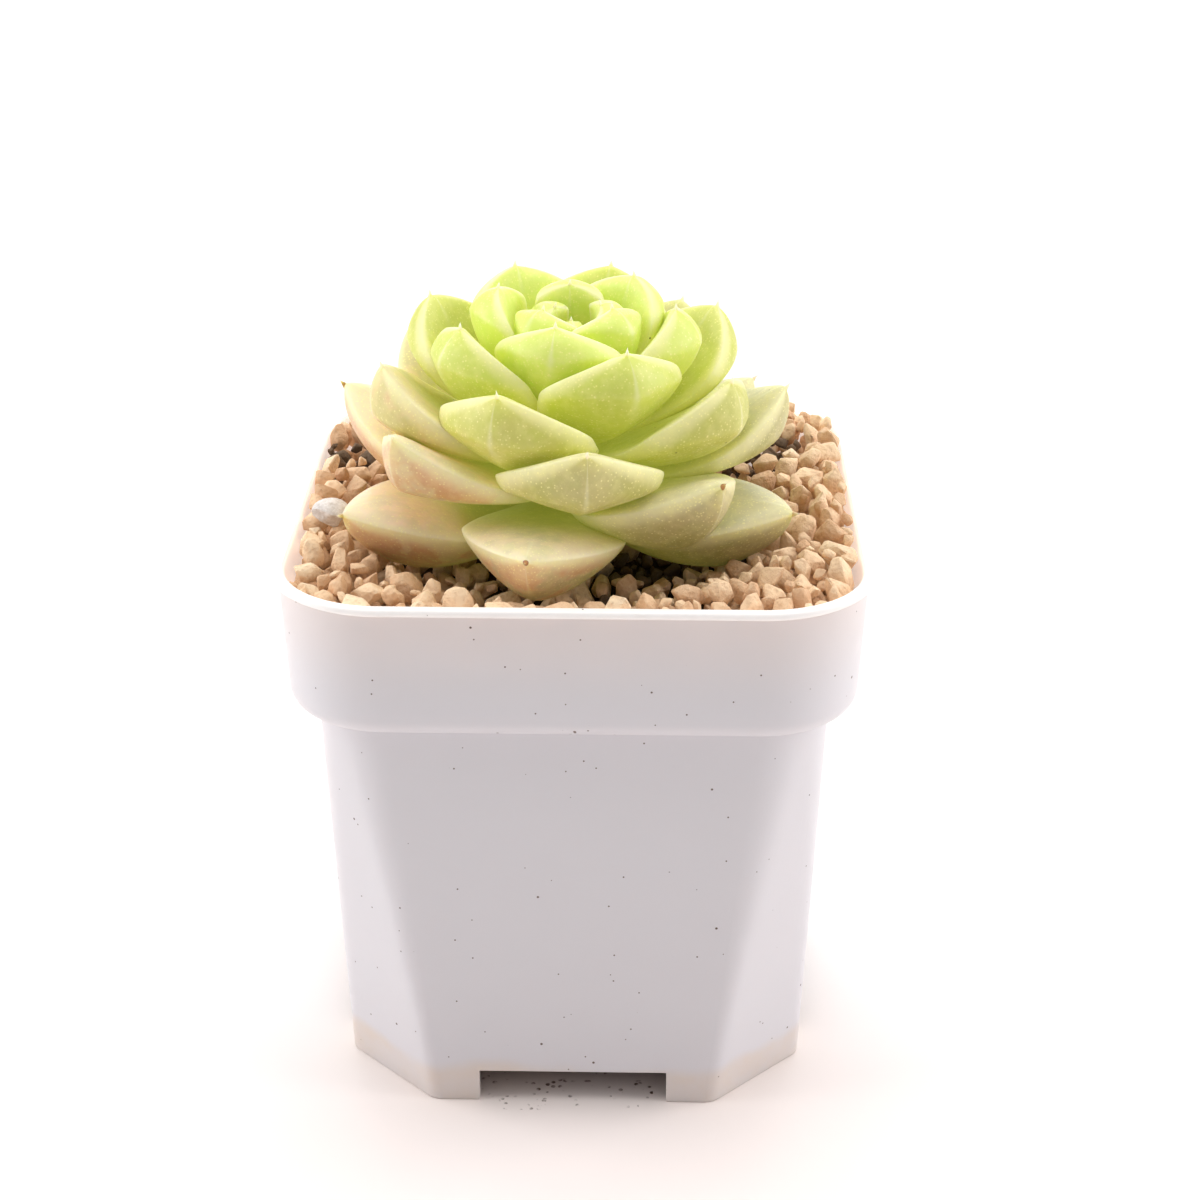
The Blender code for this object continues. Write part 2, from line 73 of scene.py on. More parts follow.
class Slot(Enum):
    """Names of material slots for the finished pieces; this script gives them to none."""

    PLASTIC = "white_plastic"
    GRIT = "clay_grit"
    PUMICE = "pumice"
    HEART = "leaf_heart"
    MIDDLE = "leaf_middle"
    OUTER = "leaf_outer"


def srgb(red: float, green: float, blue: float) -> Colour:
    """Turn display values from 0 to 255 into linear colour."""
    linear = []
    for value in (red, green, blue):
        share = value / 255.0
        linear.append(share / 12.92 if share <= 0.04045 else ((share + 0.055) / 1.055) ** 2.4)
    return linear[0], linear[1], linear[2]


def smooth_min(first: Array | float, second: Array | float, softness: float) -> Array:
    """Take the smaller of two values, rounded where they cross."""
    return 0.5 * (first + second - np.sqrt((first - second) ** 2 + softness**2))


# ------------------------------------------------------------------ making meshes
def closed_loft(rings: Sequence[Sequence[Sequence[float]]]) -> Shape:
    """Join rings of equal length into one closed shape.

    Args:
        rings: Rings of points in millimetres, from one end to the other.

    Returns:
        The shape, in metres, with its faces outward.
    """
    shape = bmesh.new()
    loops = [[shape.verts.new(Vector(point) * MM) for point in ring] for ring in rings]
    for lower, upper in zip(loops, loops[1:]):
        for i in range(len(lower)):
            j = (i + 1) % len(lower)
            shape.faces.new((lower[i], lower[j], upper[j], upper[i]))
    shape.faces.new(loops[0][::-1])
    shape.faces.new(loops[-1])
    bmesh.ops.recalc_face_normals(shape, faces=shape.faces)
    return shape


def put(name: str, data: bpy.types.ID | None) -> Thing:
    """Make an object and link it to the scene."""
    obj = bpy.data.objects.new(name, data)
    bpy.context.scene.collection.objects.link(obj)
    return obj


def mark(mesh: bpy.types.Mesh, name: str, values: Array) -> None:
    """Write a number, or a row of three, for each point of a mesh as an attribute."""
    kind, key = ("FLOAT", "value") if values.ndim == 1 else ("FLOAT_VECTOR", "vector")
    layer = mesh.attributes.new(name, kind, "POINT")
    layer.data.foreach_set(key, values.astype(np.float32).ravel())


def as_object(name: str, shape: Shape, sharp_deg: float = 180.0) -> Thing:
    """Turn a shape into a smooth shaded object at the origin.

    Args:
        name: Name of the object and its mesh.
        shape: The shape in metres, freed here.
        sharp_deg: Edges that bend more than this stay sharp.

    Returns:
        The object, linked to the scene.
    """
    mesh = bpy.data.meshes.new(name)
    shape.to_mesh(mesh)
    shape.free()
    mesh.shade_smooth()
    if sharp_deg < 180.0:
        mesh.set_sharp_from_angle(angle=math.radians(sharp_deg))
    return put(name, mesh)


def discard(obj: Thing) -> None:
    """Remove a helper object from the file."""
    bpy.data.objects.remove(obj, do_unlink=True)


def settle(obj: Thing, name: str) -> Thing:
    """Turn an object with modifiers into a plain mesh object.

    Args:
        obj: The object with its modifiers, removed here.
        name: Name of the plain object.

    Returns:
        The plain object, linked to the scene.
    """
    graph = bpy.context.evaluated_depsgraph_get()
    mesh = bpy.data.meshes.new_from_object(
        obj.evaluated_get(graph), preserve_all_data_layers=True, depsgraph=graph
    )
    discard(obj)
    mesh.name = name
    return put(name, mesh)


def hand_over(piece: Thing, node: str) -> None:
    """Let a finished piece stand for its solid and move with it.

    Args:
        piece: The finished piece.
        node: The solid that it stands for.
    """
    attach(piece, BODY)
    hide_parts(node)
    LOG.info("%s: %d faces, for %s", piece.name, len(piece.data.polygons), node)


# ------------------------------------------------------------------ making materials
class TreeBench:
    """A node tree, and the means to add to it."""

    def __init__(self, tree: bpy.types.NodeTree) -> None:
        """Take the tree."""
        self.tree = tree

    def feed(self, socket: Socket, value: object) -> None:
        """Link a socket to another, or set it to a value."""
        if isinstance(value, Socket):
            self.tree.links.new(value, socket)
        elif socket.type == "RGBA":
            socket.default_value = (*value, 1.0)
        else:
            socket.default_value = value

    def add(self, kind: str, inputs: dict[int | str, object], **settings: object) -> bpy.types.Node:
        """Add a node, set its properties and feed its inputs.

        Args:
            kind: The node's type.
            inputs: What to feed, by the input's name or number.
            settings: The properties.

        Returns:
            The node.
        """
        node = self.tree.nodes.new(kind)
        for key, value in settings.items():
            setattr(node, key, value)
        for key, value in inputs.items():
            self.feed(node.inputs[key], value)
        return node


class NodeBench(TreeBench):
    """A material's node tree, on which colours and reliefs are laid one on another."""

    def __init__(self, name: str, ground: Colour) -> None:
        """Start a material of one Principled shader.

        Args:
            name: Name of the material.
            ground: The colour that the others are laid on.
        """
        self.material = bpy.data.materials.new(name)
        self.material.use_nodes = True
        super().__init__(self.material.node_tree)
        self.shader = self.tree.nodes["Principled BSDF"]
        self.place = self.add("ShaderNodeTexCoord", {}).outputs["Object"]
        self.colour: Colour | Socket = ground
        self.normal: Socket | None = None

    def split(self, vector: Socket) -> tuple[Socket, ...]:
        """Split a vector into its three parts."""
        return tuple(self.add("ShaderNodeSeparateXYZ", {0: vector}).outputs)

    def coordinates(self) -> tuple[Socket, ...]:
        """Give the object's own coordinates, in millimetres."""
        scaled = {"Vector": self.place, "Scale": 1.0 / MM}
        return self.split(self.add("ShaderNodeVectorMath", scaled, operation="SCALE").outputs["Vector"])

    def attribute(self, name: str) -> bpy.types.Node:
        """Read a named attribute of the mesh."""
        return self.add("ShaderNodeAttribute", {}, attribute_name=name, attribute_type="GEOMETRY")

    def noise(self, size_mm: float, detail: float, rough: float) -> Socket:
        """Make a noise pattern around 0.5.

        Args:
            size_mm: Size of its blotches.
            detail: Octaves of finer noise.
            rough: Strength of the finer noise.

        Returns:
            The noise.
        """
        inputs = {"Vector": self.place, "Scale": 1.0 / (size_mm * MM), "Detail": detail}
        return self.add("ShaderNodeTexNoise", {**inputs, "Roughness": rough}).outputs["Fac"]

    def cells(self, size_mm: float) -> tuple[Socket, tuple[Socket, ...]]:
        """Make a pattern of cells.

        Args:
            size_mm: Size of a cell.

        Returns:
            The distance from the middle of a cell, and three random values for each cell.
        """
        inputs = {"Vector": self.place, "Scale": 1.0 / (size_mm * MM)}
        node = self.add("ShaderNodeTexVoronoi", inputs, feature="F1")
        return node.outputs["Distance"], self.split(node.outputs["Color"])

    def specks(self, size_mm: float, reach: float, bare: float, draw: int = 0) -> Socket:
        """Make a pattern of scattered specks, one on them and zero elsewhere.

        Args:
            size_mm: Size of the cells that hold one speck at most.
            reach: Radius of a speck as a share of its cell.
            bare: Share of the cells that have none.
            draw: Which of a cell's random values decides.

        Returns:
            The pattern.
        """
        distance, chance = self.cells(size_mm)
        dot = self.ramp(distance, reach, reach * 0.6)
        return self.product(dot, self.maths("GREATER_THAN", chance[draw], bare))

    def ramp(
        self, value: Socket, low: float, high: float, start: float = 0.0, end: float = 1.0
    ) -> Socket:
        """Map a value's range smoothly onto another, held at its ends.

        Args:
            value: The value.
            low: Where the result is at its start.
            high: Where the result is at its end.
            start: The result at low.
            end: The result at high.

        Returns:
            The mapped value.
        """
        inputs = {"Value": value, "From Min": low, "From Max": high, "To Min": start, "To Max": end}
        node = self.add("ShaderNodeMapRange", inputs, interpolation_type="SMOOTHSTEP", clamp=True)
        return node.outputs["Result"]

    def maths(self, operation: str, *values: object) -> Socket:
        """Work out one number from others."""
        return self.add("ShaderNodeMath", dict(enumerate(values)), operation=operation).outputs[0]

    def product(self, first: Socket, *others: Socket) -> Socket:
        """Multiply shares, so that a layer shows only where all of them do."""
        for other in others:
            first = self.maths("MULTIPLY", first, other)
        return first

    def within(self, value: Socket, centre: float, reach: float) -> Socket:
        """Give one where a value is within a reach of a centre, else zero."""
        return self.maths("COMPARE", value, centre, reach)

    def lay(self, share: object, over: Colour) -> None:
        """Lay a colour on the ones laid so far, as far as its share shows."""
        inputs = {"Factor": share, 6: self.colour, 7: over}
        self.colour = self.add("ShaderNodeMix", inputs, data_type="RGBA").outputs[2]

    def emboss(self, height: Socket, depth_mm: float) -> None:
        """Lay a relief on the ones laid so far.

        Args:
            height: The pattern, from 0 to 1.
            depth_mm: Depth of the relief.
        """
        inputs = {"Strength": 1.0, "Distance": depth_mm * MM, "Height": height}
        if self.normal is not None:
            inputs["Normal"] = self.normal
        self.normal = self.add("ShaderNodeBump", inputs).outputs["Normal"]

    def finish(self, roughness: object, **others: object) -> Material:
        """Connect the shader.

        Args:
            roughness: Roughness.
            others: Other inputs of the shader, by name with underscores.

        Returns:
            The material.
        """
        inputs = {"Base_Color": self.colour, "Roughness": roughness, **others}
        if self.normal is not None:
            inputs["Normal"] = self.normal
        for key, value in inputs.items():
            self.feed(self.shader.inputs[key.replace("_", " ")], value)
        return self.material


@dataclass(frozen=True)
class PotPlastic:
    """Moulded white plastic: satin, a little translucent, dusty at the foot and under the rim, with
    painted light on the lip.
    """

    body: Colour = srgb(218, 215, 220)
    rim: Colour = srgb(224, 216, 216)
    dust: Colour = srgb(220, 205, 194)
    # Brighter white of the lip: painted light.
    lit_lip: Colour = srgb(254, 250, 248)
    speck: Colour = srgb(96, 76, 66)
    light: Colour = (1.0, 0.88, 0.8)
    roughness: float = 0.3
    band_foot: float = 53.2
    lip_foot: float = 69.0
    stain_height: float = 7.0
    stain_fade: float = 2.4
    speck_patterns: tuple[tuple[float, float, float], ...] = ((1.7, 0.078, 0.55), (3.6, 0.056, 0.45))

    def material(self, name: str = "white_plastic", glow: float = 0.0) -> Material:
        """Build the plastic.

        Args:
            name: Name of the material.
            glow: Light that seeps through the thin wall.

        Returns:
            The material.
        """
        bench = NodeBench(name, self.body)
        across, depth, height = bench.coordinates()
        bench.lay(bench.ramp(height, self.band_foot + 3.0, self.lip_foot), self.rim)
        # Painted light: the whole lip is coloured brighter, as its thin edge is lit from behind.
        bench.lay(bench.ramp(height, self.lip_foot - 0.1, self.lip_foot + 0.3), self.lit_lip)
        ragged = bench.ramp(bench.noise(14.0, 2.0, 0.5), 0.3, 0.7, 0.0, 2.0)
        uneven = bench.maths("ADD", height, ragged)
        stain = bench.ramp(uneven, self.stain_height, self.stain_height - self.stain_fade)
        cloudy = bench.ramp(bench.noise(9.0, 4.0, 0.6), 0.7, 0.3, 0.45, 0.9)
        bench.lay(bench.product(stain, cloudy), self.dust)
        grime = bench.ramp(bench.noise(2.2, 3.0, 0.6), 0.5, 0.7, 0.0, 0.1)
        bench.lay(bench.product(bench.within(height, self.lip_foot, 0.35), grime), self.dust)
        for size, reach, bare in self.speck_patterns:
            bench.lay(bench.specks(size, reach, bare), self.speck)
        crease = bench.product(
            bench.within(height, self.band_foot + 1.2, 0.8),
            bench.within(across, 2.0, 3.4),
            bench.maths("LESS_THAN", depth, 0.0),
        )
        bench.lay(bench.product(crease, bench.specks(0.75, 0.3, 0.5)), self.speck)
        bench.emboss(bench.noise(0.35, 2.0, 0.5), 0.006)
        bench.emboss(bench.noise(14.0, 1.0, 0.4), 0.10)
        return bench.finish(
            bench.ramp(bench.noise(3.0, 5.0, 0.65), 0.3, 0.7, self.roughness, self.roughness + 0.12),
            Subsurface_Weight=0.25,
            Subsurface_Scale=4.0 * MM,
            Subsurface_Radius=(1.0, 0.85, 0.8),
            Emission_Color=self.light,
            Emission_Strength=glow,
        )


@dataclass(frozen=True)
class LeafSkin:
    """Waxy translucent leaf skin, coloured by the leaf's age and by the place on the blade.

    It reads two attributes: blade holds the place along the leaf, the distance from its middle line
    and how far it lies on the upper face; growth holds the age, a tone of its own and how brown the
    tip is. Towards the stem the skin glows a little: painted light for light passing through the leaf.
    """

    heart: Colour = srgb(216, 230, 116)
    middle: Colour = srgb(194, 197, 84)
    outer: Colour = srgb(160, 156, 96)
    cream: Colour = srgb(228, 208, 170)
    foot: Colour = srgb(194, 202, 62)
    peach: Colour = srgb(250, 208, 180)
    tan: Colour = srgb(198, 142, 92)
    frost: Colour = srgb(236, 234, 204)
    margin: Colour = srgb(242, 234, 190)
    fleck: Colour = srgb(254, 246, 180)
    tip: Colour = srgb(246, 222, 182)
    dead_tip: Colour = srgb(128, 66, 34)
    dust: Colour = srgb(70, 52, 30)
    # Colour of the painted glow that stands in for light passing through the leaf.
    painted_glow: Colour = srgb(238, 244, 112)
    seeping_light: float = 0.105
    seeping_when_old: float = 0.04
    roughness: float = 0.36

    def material(self) -> Material:
        """Build the leaf skin."""
        bench = NodeBench("leaf_skin", self.heart)
        along, side, upper = bench.split(bench.attribute("blade").outputs["Vector"])
        age, tone, brown = bench.split(bench.attribute("growth").outputs["Vector"])
        bench.lay(bench.ramp(age, 0.2, 0.6), self.middle)
        bench.lay(bench.ramp(age, 0.48, 0.78), self.outer)
        left_old = bench.product(bench.ramp(age, 0.5, 0.85), bench.ramp(tone, 0.6, 0.9, 0.0, 0.65))
        bench.lay(left_old, self.cream)
        bench.lay(bench.ramp(along, 0.8, 0.35, 0.0, 0.85), self.foot)
        blush = bench.product(
            bench.ramp(age, 0.42, 0.85),
            bench.ramp(along, 0.3, 0.85),
            bench.ramp(bench.noise(5.5, 3.0, 0.55), 0.38, 0.58, 0.35, 1.0),
            bench.ramp(tone, 0.25, 0.85, 0.15, 1.4),
        )
        bench.lay(blush, self.peach)
        below = bench.maths("SUBTRACT", 1.0, upper)
        bench.lay(bench.product(bench.ramp(blush, 0.3, 0.8, 0.0, 0.75), below), self.tan)
        bench.lay(bench.product(upper, bench.ramp(age, 0.4, 0.9, 0.1, 0.4)), self.frost)
        bench.lay(bench.ramp(side, 0.8, 1.0, 0.0, 0.6), self.margin)
        pale_end = bench.ramp(along, 0.8, 1.0, 0.0, 0.3)
        bench.lay(bench.product(pale_end, bench.ramp(age, 0.4, 0.9, 0.3, 1.0)), self.margin)
        keel = bench.ramp(side, 0.10, 0.0)
        bench.lay(bench.product(keel, bench.ramp(along, 0.7, 0.97, 0.0, 0.35)), self.frost)
        bench.lay(bench.ramp(bench.noise(1.5, 4.0, 0.65), 0.4, 0.7, 0.0, 0.18), self.fleck)
        distance, chance = bench.cells(0.36)
        chosen = bench.ramp(chance[1], 0.35, 0.8, 0.0, 0.48)
        bench.lay(bench.product(bench.ramp(distance, 0.4, 0.18), chosen), self.fleck)
        bench.lay(bench.ramp(along, 0.97, 1.25, 0.0, 0.75), self.tip)
        bench.lay(bench.product(bench.ramp(along, 0.985, 1.15), brown), self.dead_tip)
        bench.lay(bench.specks(2.3, 0.07, 0.88, draw=2), self.dust)
        bench.emboss(bench.noise(0.4, 2.0, 0.5), 0.022)
        bench.emboss(bench.noise(2.6, 2.0, 0.5), 0.12)
        # Painted light: the skin glows towards the stem, more on young leaves.
        glow_by_age = bench.ramp(age, 0.6, 1.0, self.seeping_light, self.seeping_when_old)
        return bench.finish(
            bench.ramp(bench.noise(1.2, 3.0, 0.6), 0.3, 0.7, self.roughness, self.roughness + 0.14),
            Subsurface_Weight=0.75,
            Subsurface_Scale=4.5 * MM,
            Subsurface_Radius=(0.9, 1.0, 0.45),
            Emission_Color=self.painted_glow,
            Emission_Strength=bench.product(bench.ramp(along, 1.0, 0.6), glow_by_age),
        )


@dataclass(frozen=True)
class BakedClay:
    """Dry baked clay, dusty and matt, each grain with a tone of its own, and crumbs of soil."""

    dark: Colour = srgb(226, 186, 148)
    light: Colour = srgb(250, 219, 182)
    bleached: Colour = srgb(250, 228, 196)
    pit: Colour = srgb(190, 142, 102)
    soil: Colour = srgb(62, 46, 36)

    def material(self) -> Material:
        """Build the clay."""
        bench = NodeBench("clay_grit", self.dark)
        tone = bench.attribute("tone").outputs["Fac"]
        bench.lay(bench.ramp(tone, 0.0, 0.75), self.light)
        bench.lay(bench.ramp(tone, 0.9, 1.0, 0.0, 0.6), self.bleached)
        cloud = bench.noise(0.9, 4.0, 0.65)
        bench.lay(bench.ramp(cloud, 0.55, 0.25, 0.0, 0.45), self.pit)
        bench.lay(bench.ramp(cloud, 0.5, 0.8, 0.0, 0.4), self.bleached)
        # Dark soil crumbs; under the front leaves they are partly painted shade.
        bench.lay(bench.maths("MULTIPLY", bench.attribute("soil").outputs["Fac"], 0.85), self.soil)
        bench.emboss(bench.noise(0.22, 3.0, 0.6), 0.06)
        bench.emboss(bench.noise(0.9, 3.0, 0.55), 0.4)
        return bench.finish(0.88, Specular_IOR_Level=0.25)


@dataclass(frozen=True)
class MattEarth:
    """A matt finish of two mixed colours with a crumbly relief, for soil, pumice and the stem."""

    name: str
    dark: Colour
    light: Colour
    size_mm: float = 1.0
    relief_mm: float = 0.3
    roughness: float = 0.9

    def material(self) -> Material:
        """Build the finish."""
        bench = NodeBench(self.name, self.dark)
        cloud = bench.noise(self.size_mm, 5.0, 0.7)
        bench.lay(bench.ramp(cloud, 0.3, 0.7), self.light)
        bench.emboss(cloud, self.relief_mm)
        return bench.finish(self.roughness, Specular_IOR_Level=0.25)


@dataclass(frozen=True)
class StudioPaper:
    """The pale studio floor, with painted shade behind the notch at the front and a little dirt before
    it.
    """

    paper: Colour = srgb(252, 248, 246)
    warm: Colour = srgb(250, 240, 236)
    # Colour of the litter, and of the painted shade behind the notch.
    dirt_and_painted_shade: Colour = srgb(96, 72, 60)

    def material(self) -> Material:
        """Build the paper."""
        bench = NodeBench("studio_paper", self.paper)
        across, depth, _ = bench.coordinates()
        bench.lay(bench.ramp(bench.noise(90.0, 2.0, 0.5), 0.35, 0.65), self.warm)
        # Painted shade: the floor darkens inwards behind the front notch, where the pot's underside
        # shades it.
        shade = bench.product(
            bench.within(depth, 0.0, 28.4),
            bench.within(across, 0.0, 12.5),
            bench.ramp(depth, -28.6, -21.0, 0.0, 0.7),
        )
        bench.lay(shade, self.dirt_and_painted_shade)
        litter = bench.product(
            bench.within(across, -1.0, 11.0),
            bench.within(depth, -26.5, 4.0),
            bench.ramp(bench.noise(3.0, 3.0, 0.6), 0.5, 0.62),
            bench.specks(0.8, 0.45, 0.35),
        )
        bench.lay(litter, self.dirt_and_painted_shade)
        return bench.finish(0.6, Specular_IOR_Level=0.2)


# ------------------------------------------------------------------ pot
def quarter(steps: int) -> list[tuple[float, float]]:
    """List the sine and the cosine of angles spaced over a quarter turn."""
    angles = [math.pi / 2 * step / steps for step in range(steps + 1)]
    return [(math.sin(angle), math.cos(angle)) for angle in angles]


@dataclass
class NurseryPot:
    """Moulded square pot: banded rim with a lip, body with chamfered corners, four feet, drains.

    The body's corners are cut straight across at the foot and turn round towards the band.
    """

    height: float = 70.0
    lip_across: float = 70.0
    opening_inset: float = 1.5
    lip_height: float = 1.0
    lip_overhang: float = 0.8
    lip_rounding: float = 0.4
    band_height: float = 15.8
    band_draft: float = 0.7
    band_foot_radius: float = 2.2
    rim_corner_radius: float = 13.4
    body_top_half: float = 30.2
    body_foot_half: float = 28.6
    body_top_corner: float = 8.4
    body_foot_chamfer: float = 12.2
    chamfer_rounding: float = 0.11
    rounding_power: float = 1.6
    wall: float = 1.4
    floor_thickness: float = 1.6
    notch_height: float = 4.4
    notch_width: float = 23.2
    notch_to_floor: float = 0.4
    centre_drain_radius: float = 4.0
    drain_radius: float = 2.4
    drain_ring_radius: float = 14.0
    drain_count: int = 8
    edge_rounding: float = 0.17
    sharp_deg: float = 38.0
    corner_steps: int = 24
    body_rings: int = 16
    arc_steps: int = 8
    lip_steps: int = 4
    lip_step: float = 0.12
    lip_relief: float = 0.25
    seeping_light: float = 0.4
    finish: PotPlastic = PotPlastic()

    @property
    def band_foot(self) -> float:
        """Height of the band's foot."""
        return self.height - self.lip_height - self.band_height

    @property
    def floor_underside(self) -> float:
        """Height of the underside of the pot's floor."""
        return self.notch_height + self.notch_to_floor

    def corner_turn(self, share: float, roundness: float) -> float:
        """Give how far a corner has turned, from 0 to 1, a share of the way along it.

        Args:
            share: The way along the corner.
            roundness: 0 for a chamfer with rounded edges, 1 for a quarter circle.

        Returns:
            The turn as a share of a right angle.
        """
        width = self.chamfer_rounding + (0.5 - self.chamfer_rounding) * roundness
        first = min(share / width, 1.0)
        second = max((share - 1.0 + width) / width, 0.0)
        return 0.5 * (first + second)

    def square_ring(
        self, half: float, corner: float, height: float, roundness: float = 1.0
    ) -> list[Vector]:
        """Make a ring round a square whose corners are between a chamfer and a quarter circle.

        Args:
            half: Half the square's side.
            corner: Length of each side that a corner takes.
            height: Height of the ring.
            roundness: 0 for chamfered corners, 1 for round ones.

        Returns:
            The ring's points.
        """
        turns = [math.pi * k / self.corner_steps for k in range(self.corner_steps + 1)]
        shares = [0.5 - 0.5 * math.cos(turn) for turn in turns]
        path = [Vector((0.0, 0.0))]
        for start, end in zip(shares, shares[1:]):
            turn = math.pi / 2 * self.corner_turn((start + end) / 2, roundness)
            path.append(path[-1] + Vector((-math.sin(turn), math.cos(turn))) * (end - start))
        scale = corner / path[-1].y
        ring = []
        for side in range(4):
            for step in path:
                point = Vector((half, half - corner)) + step * scale
                point.rotate(Matrix.Rotation(side * math.pi / 2, 2))
                ring.append(Vector((point.x, point.y, height)))
        return ring

    def body_ring(self, share: float, inset: float = 0.0, height: float | None = None) -> list[Vector]:
        """Make a ring round the body, a share of the way from its foot to the band's foot."""
        half = self.body_foot_half + (self.body_top_half - self.body_foot_half) * share - inset
        corner = self.body_foot_chamfer + (self.body_top_corner - self.body_foot_chamfer) * share
        roundness = min(share, 1.0) ** self.rounding_power
        corner -= inset * (roundness + (1.0 - roundness) * (2.0 - math.sqrt(2.0)))
        height = self.band_foot * share if height is None else height
        return self.square_ring(half, corner, height, roundness)

    def rim_ring(self, inset: float, height: float) -> list[Vector]:
        """Make a ring round the rim, set in from the outside of the lip."""
        half = self.lip_across / 2 - inset
        return self.square_ring(half, max(self.rim_corner_radius - inset, half / 4), height)

    def outside(self) -> list[list[Vector]]:
        """List the rings of the outside, from the foot to the top of the lip."""
        top, foot = self.height, self.band_foot
        lip_foot, drawn_in = top - self.lip_height, self.lip_overhang - self.lip_step
        radius, rounding = self.band_foot_radius, self.lip_rounding
        rings = [self.body_ring(ring / self.body_rings) for ring in range(self.body_rings + 1)]
        for sine, cosine in quarter(self.arc_steps):
            inset = self.lip_overhang + self.band_draft + radius * (1.0 - sine)
            rings.append(self.rim_ring(inset, foot + radius * (1.0 - cosine)))
        rings.append(self.rim_ring(self.lip_overhang, lip_foot - self.lip_relief))
        rings.append(self.rim_ring(drawn_in, lip_foot))
        for sine, cosine in quarter(self.lip_steps - 1):
            rings.append(self.rim_ring(drawn_in * (1.0 - sine), lip_foot + rounding * (1.0 - cosine)))
        for sine, cosine in quarter(self.lip_steps):
            rings.append(self.rim_ring(rounding * (1.0 - cosine), top - rounding * (1.0 - sine)))
        return rings

    def inside(self) -> list[list[Vector]]:
        """List the rings of the inside, from the top of the lip to the floor."""
        ledge = self.band_foot + self.wall
        floor_top = self.floor_underside + self.floor_thickness
        rings = []
        for sine, cosine in quarter(self.lip_steps):
            inset = self.opening_inset - self.lip_rounding * (1.0 - sine)
            rings.append(self.rim_ring(inset, self.height - self.lip_rounding * (1.0 - cosine)))
        rings.append(self.rim_ring(self.lip_overhang + self.band_draft + self.wall, ledge))
        rings.append(self.body_ring(1.0, self.wall, ledge))
        for ring in range(self.body_rings - 1, 2, -1):
            rings.append(self.body_ring(ring / self.body_rings, self.wall))
        rings.append(self.body_ring(floor_top / self.band_foot, self.wall, floor_top))
        return rings

    def cutters(self) -> list[Thing]:
        """Make the shapes that are cut out: the recess under the floor, the notches, the drains."""
        under = self.floor_underside
        recess = [self.body_ring(0.0, self.wall, height) for height in (-5.0, 0.0)]
        recess.append(self.body_ring(under / self.band_foot, self.wall, under))
        made = [as_object("cutter_recess", closed_loft(recess))]
        through = 1.5 * self.lip_across
        for across, deep in ((through, self.notch_width), (self.notch_width, through)):
            block = bmesh.new()
            bmesh.ops.create_cube(block, size=1.0)
            size = Vector((across, deep, 2.0 * self.notch_height))
            bmesh.ops.scale(block, vec=size * MM, verts=block.verts)
            made.append(as_object("cutter_notch", block))
        drains = [(0.0, 0.0, self.centre_drain_radius)]
        for drain in range(self.drain_count):
            angle, reach = 2.0 * math.pi * drain / self.drain_count, self.drain_ring_radius
            drains.append((reach * math.cos(angle), reach * math.sin(angle), self.drain_radius))
        for x, y, radius in drains:
            drill = bmesh.new()
            bmesh.ops.create_cone(
                drill,
                cap_ends=True,
                segments=40,
                radius1=radius * MM,
                radius2=radius * MM,
                depth=4.0 * self.floor_thickness * MM,
                matrix=Matrix.Translation(Vector((x, y, under + self.floor_thickness / 2)) * MM),
            )
            made.append(as_object("cutter_drain", drill))
        return made

    def build(self) -> Thing:
        """Loft the pot, cut it, round its edges and dress it.

        Returns:
            The pot.
        """
        pot = as_object("pot_shell", closed_loft(self.outside() + self.inside()))
        cutters = self.cutters()
        for cutter in cutters:
            cut = pot.modifiers.new("cut", "BOOLEAN")
            cut.operation = "DIFFERENCE"
            cut.solver = "EXACT"
            cut.object = cutter
        pot = settle(pot, "pot_cut")
        for cutter in cutters:
            discard(cutter)
        rounded = pot.modifiers.new("rounded", "BEVEL")
        rounded.width = self.edge_rounding * MM
        rounded.segments = 2
        rounded.limit_method = "ANGLE"
        rounded.angle_limit = math.radians(self.sharp_deg)
        rounded.use_clamp_overlap = True
        weighted = pot.modifiers.new("weighted", "WEIGHTED_NORMAL")
        weighted.keep_sharp = True
        pot = settle(pot, "nursery_pot")
        pot.data.materials.clear()
        pot.data.materials.append(self.finish.material())
        pot.data.materials.append(self.finish.material("lit_plastic", self.seeping_light))
        for face in pot.data.polygons:
            towards = face.normal.x * face.center.x + face.normal.y * face.center.y
            rim_wall = self.band_foot * MM < face.center.z < (self.height - 0.1) * MM
            face.material_index = int(rim_wall and towards < -0.5 * face.center.xy.length)
        hand_over(pot, "pot")
        return pot


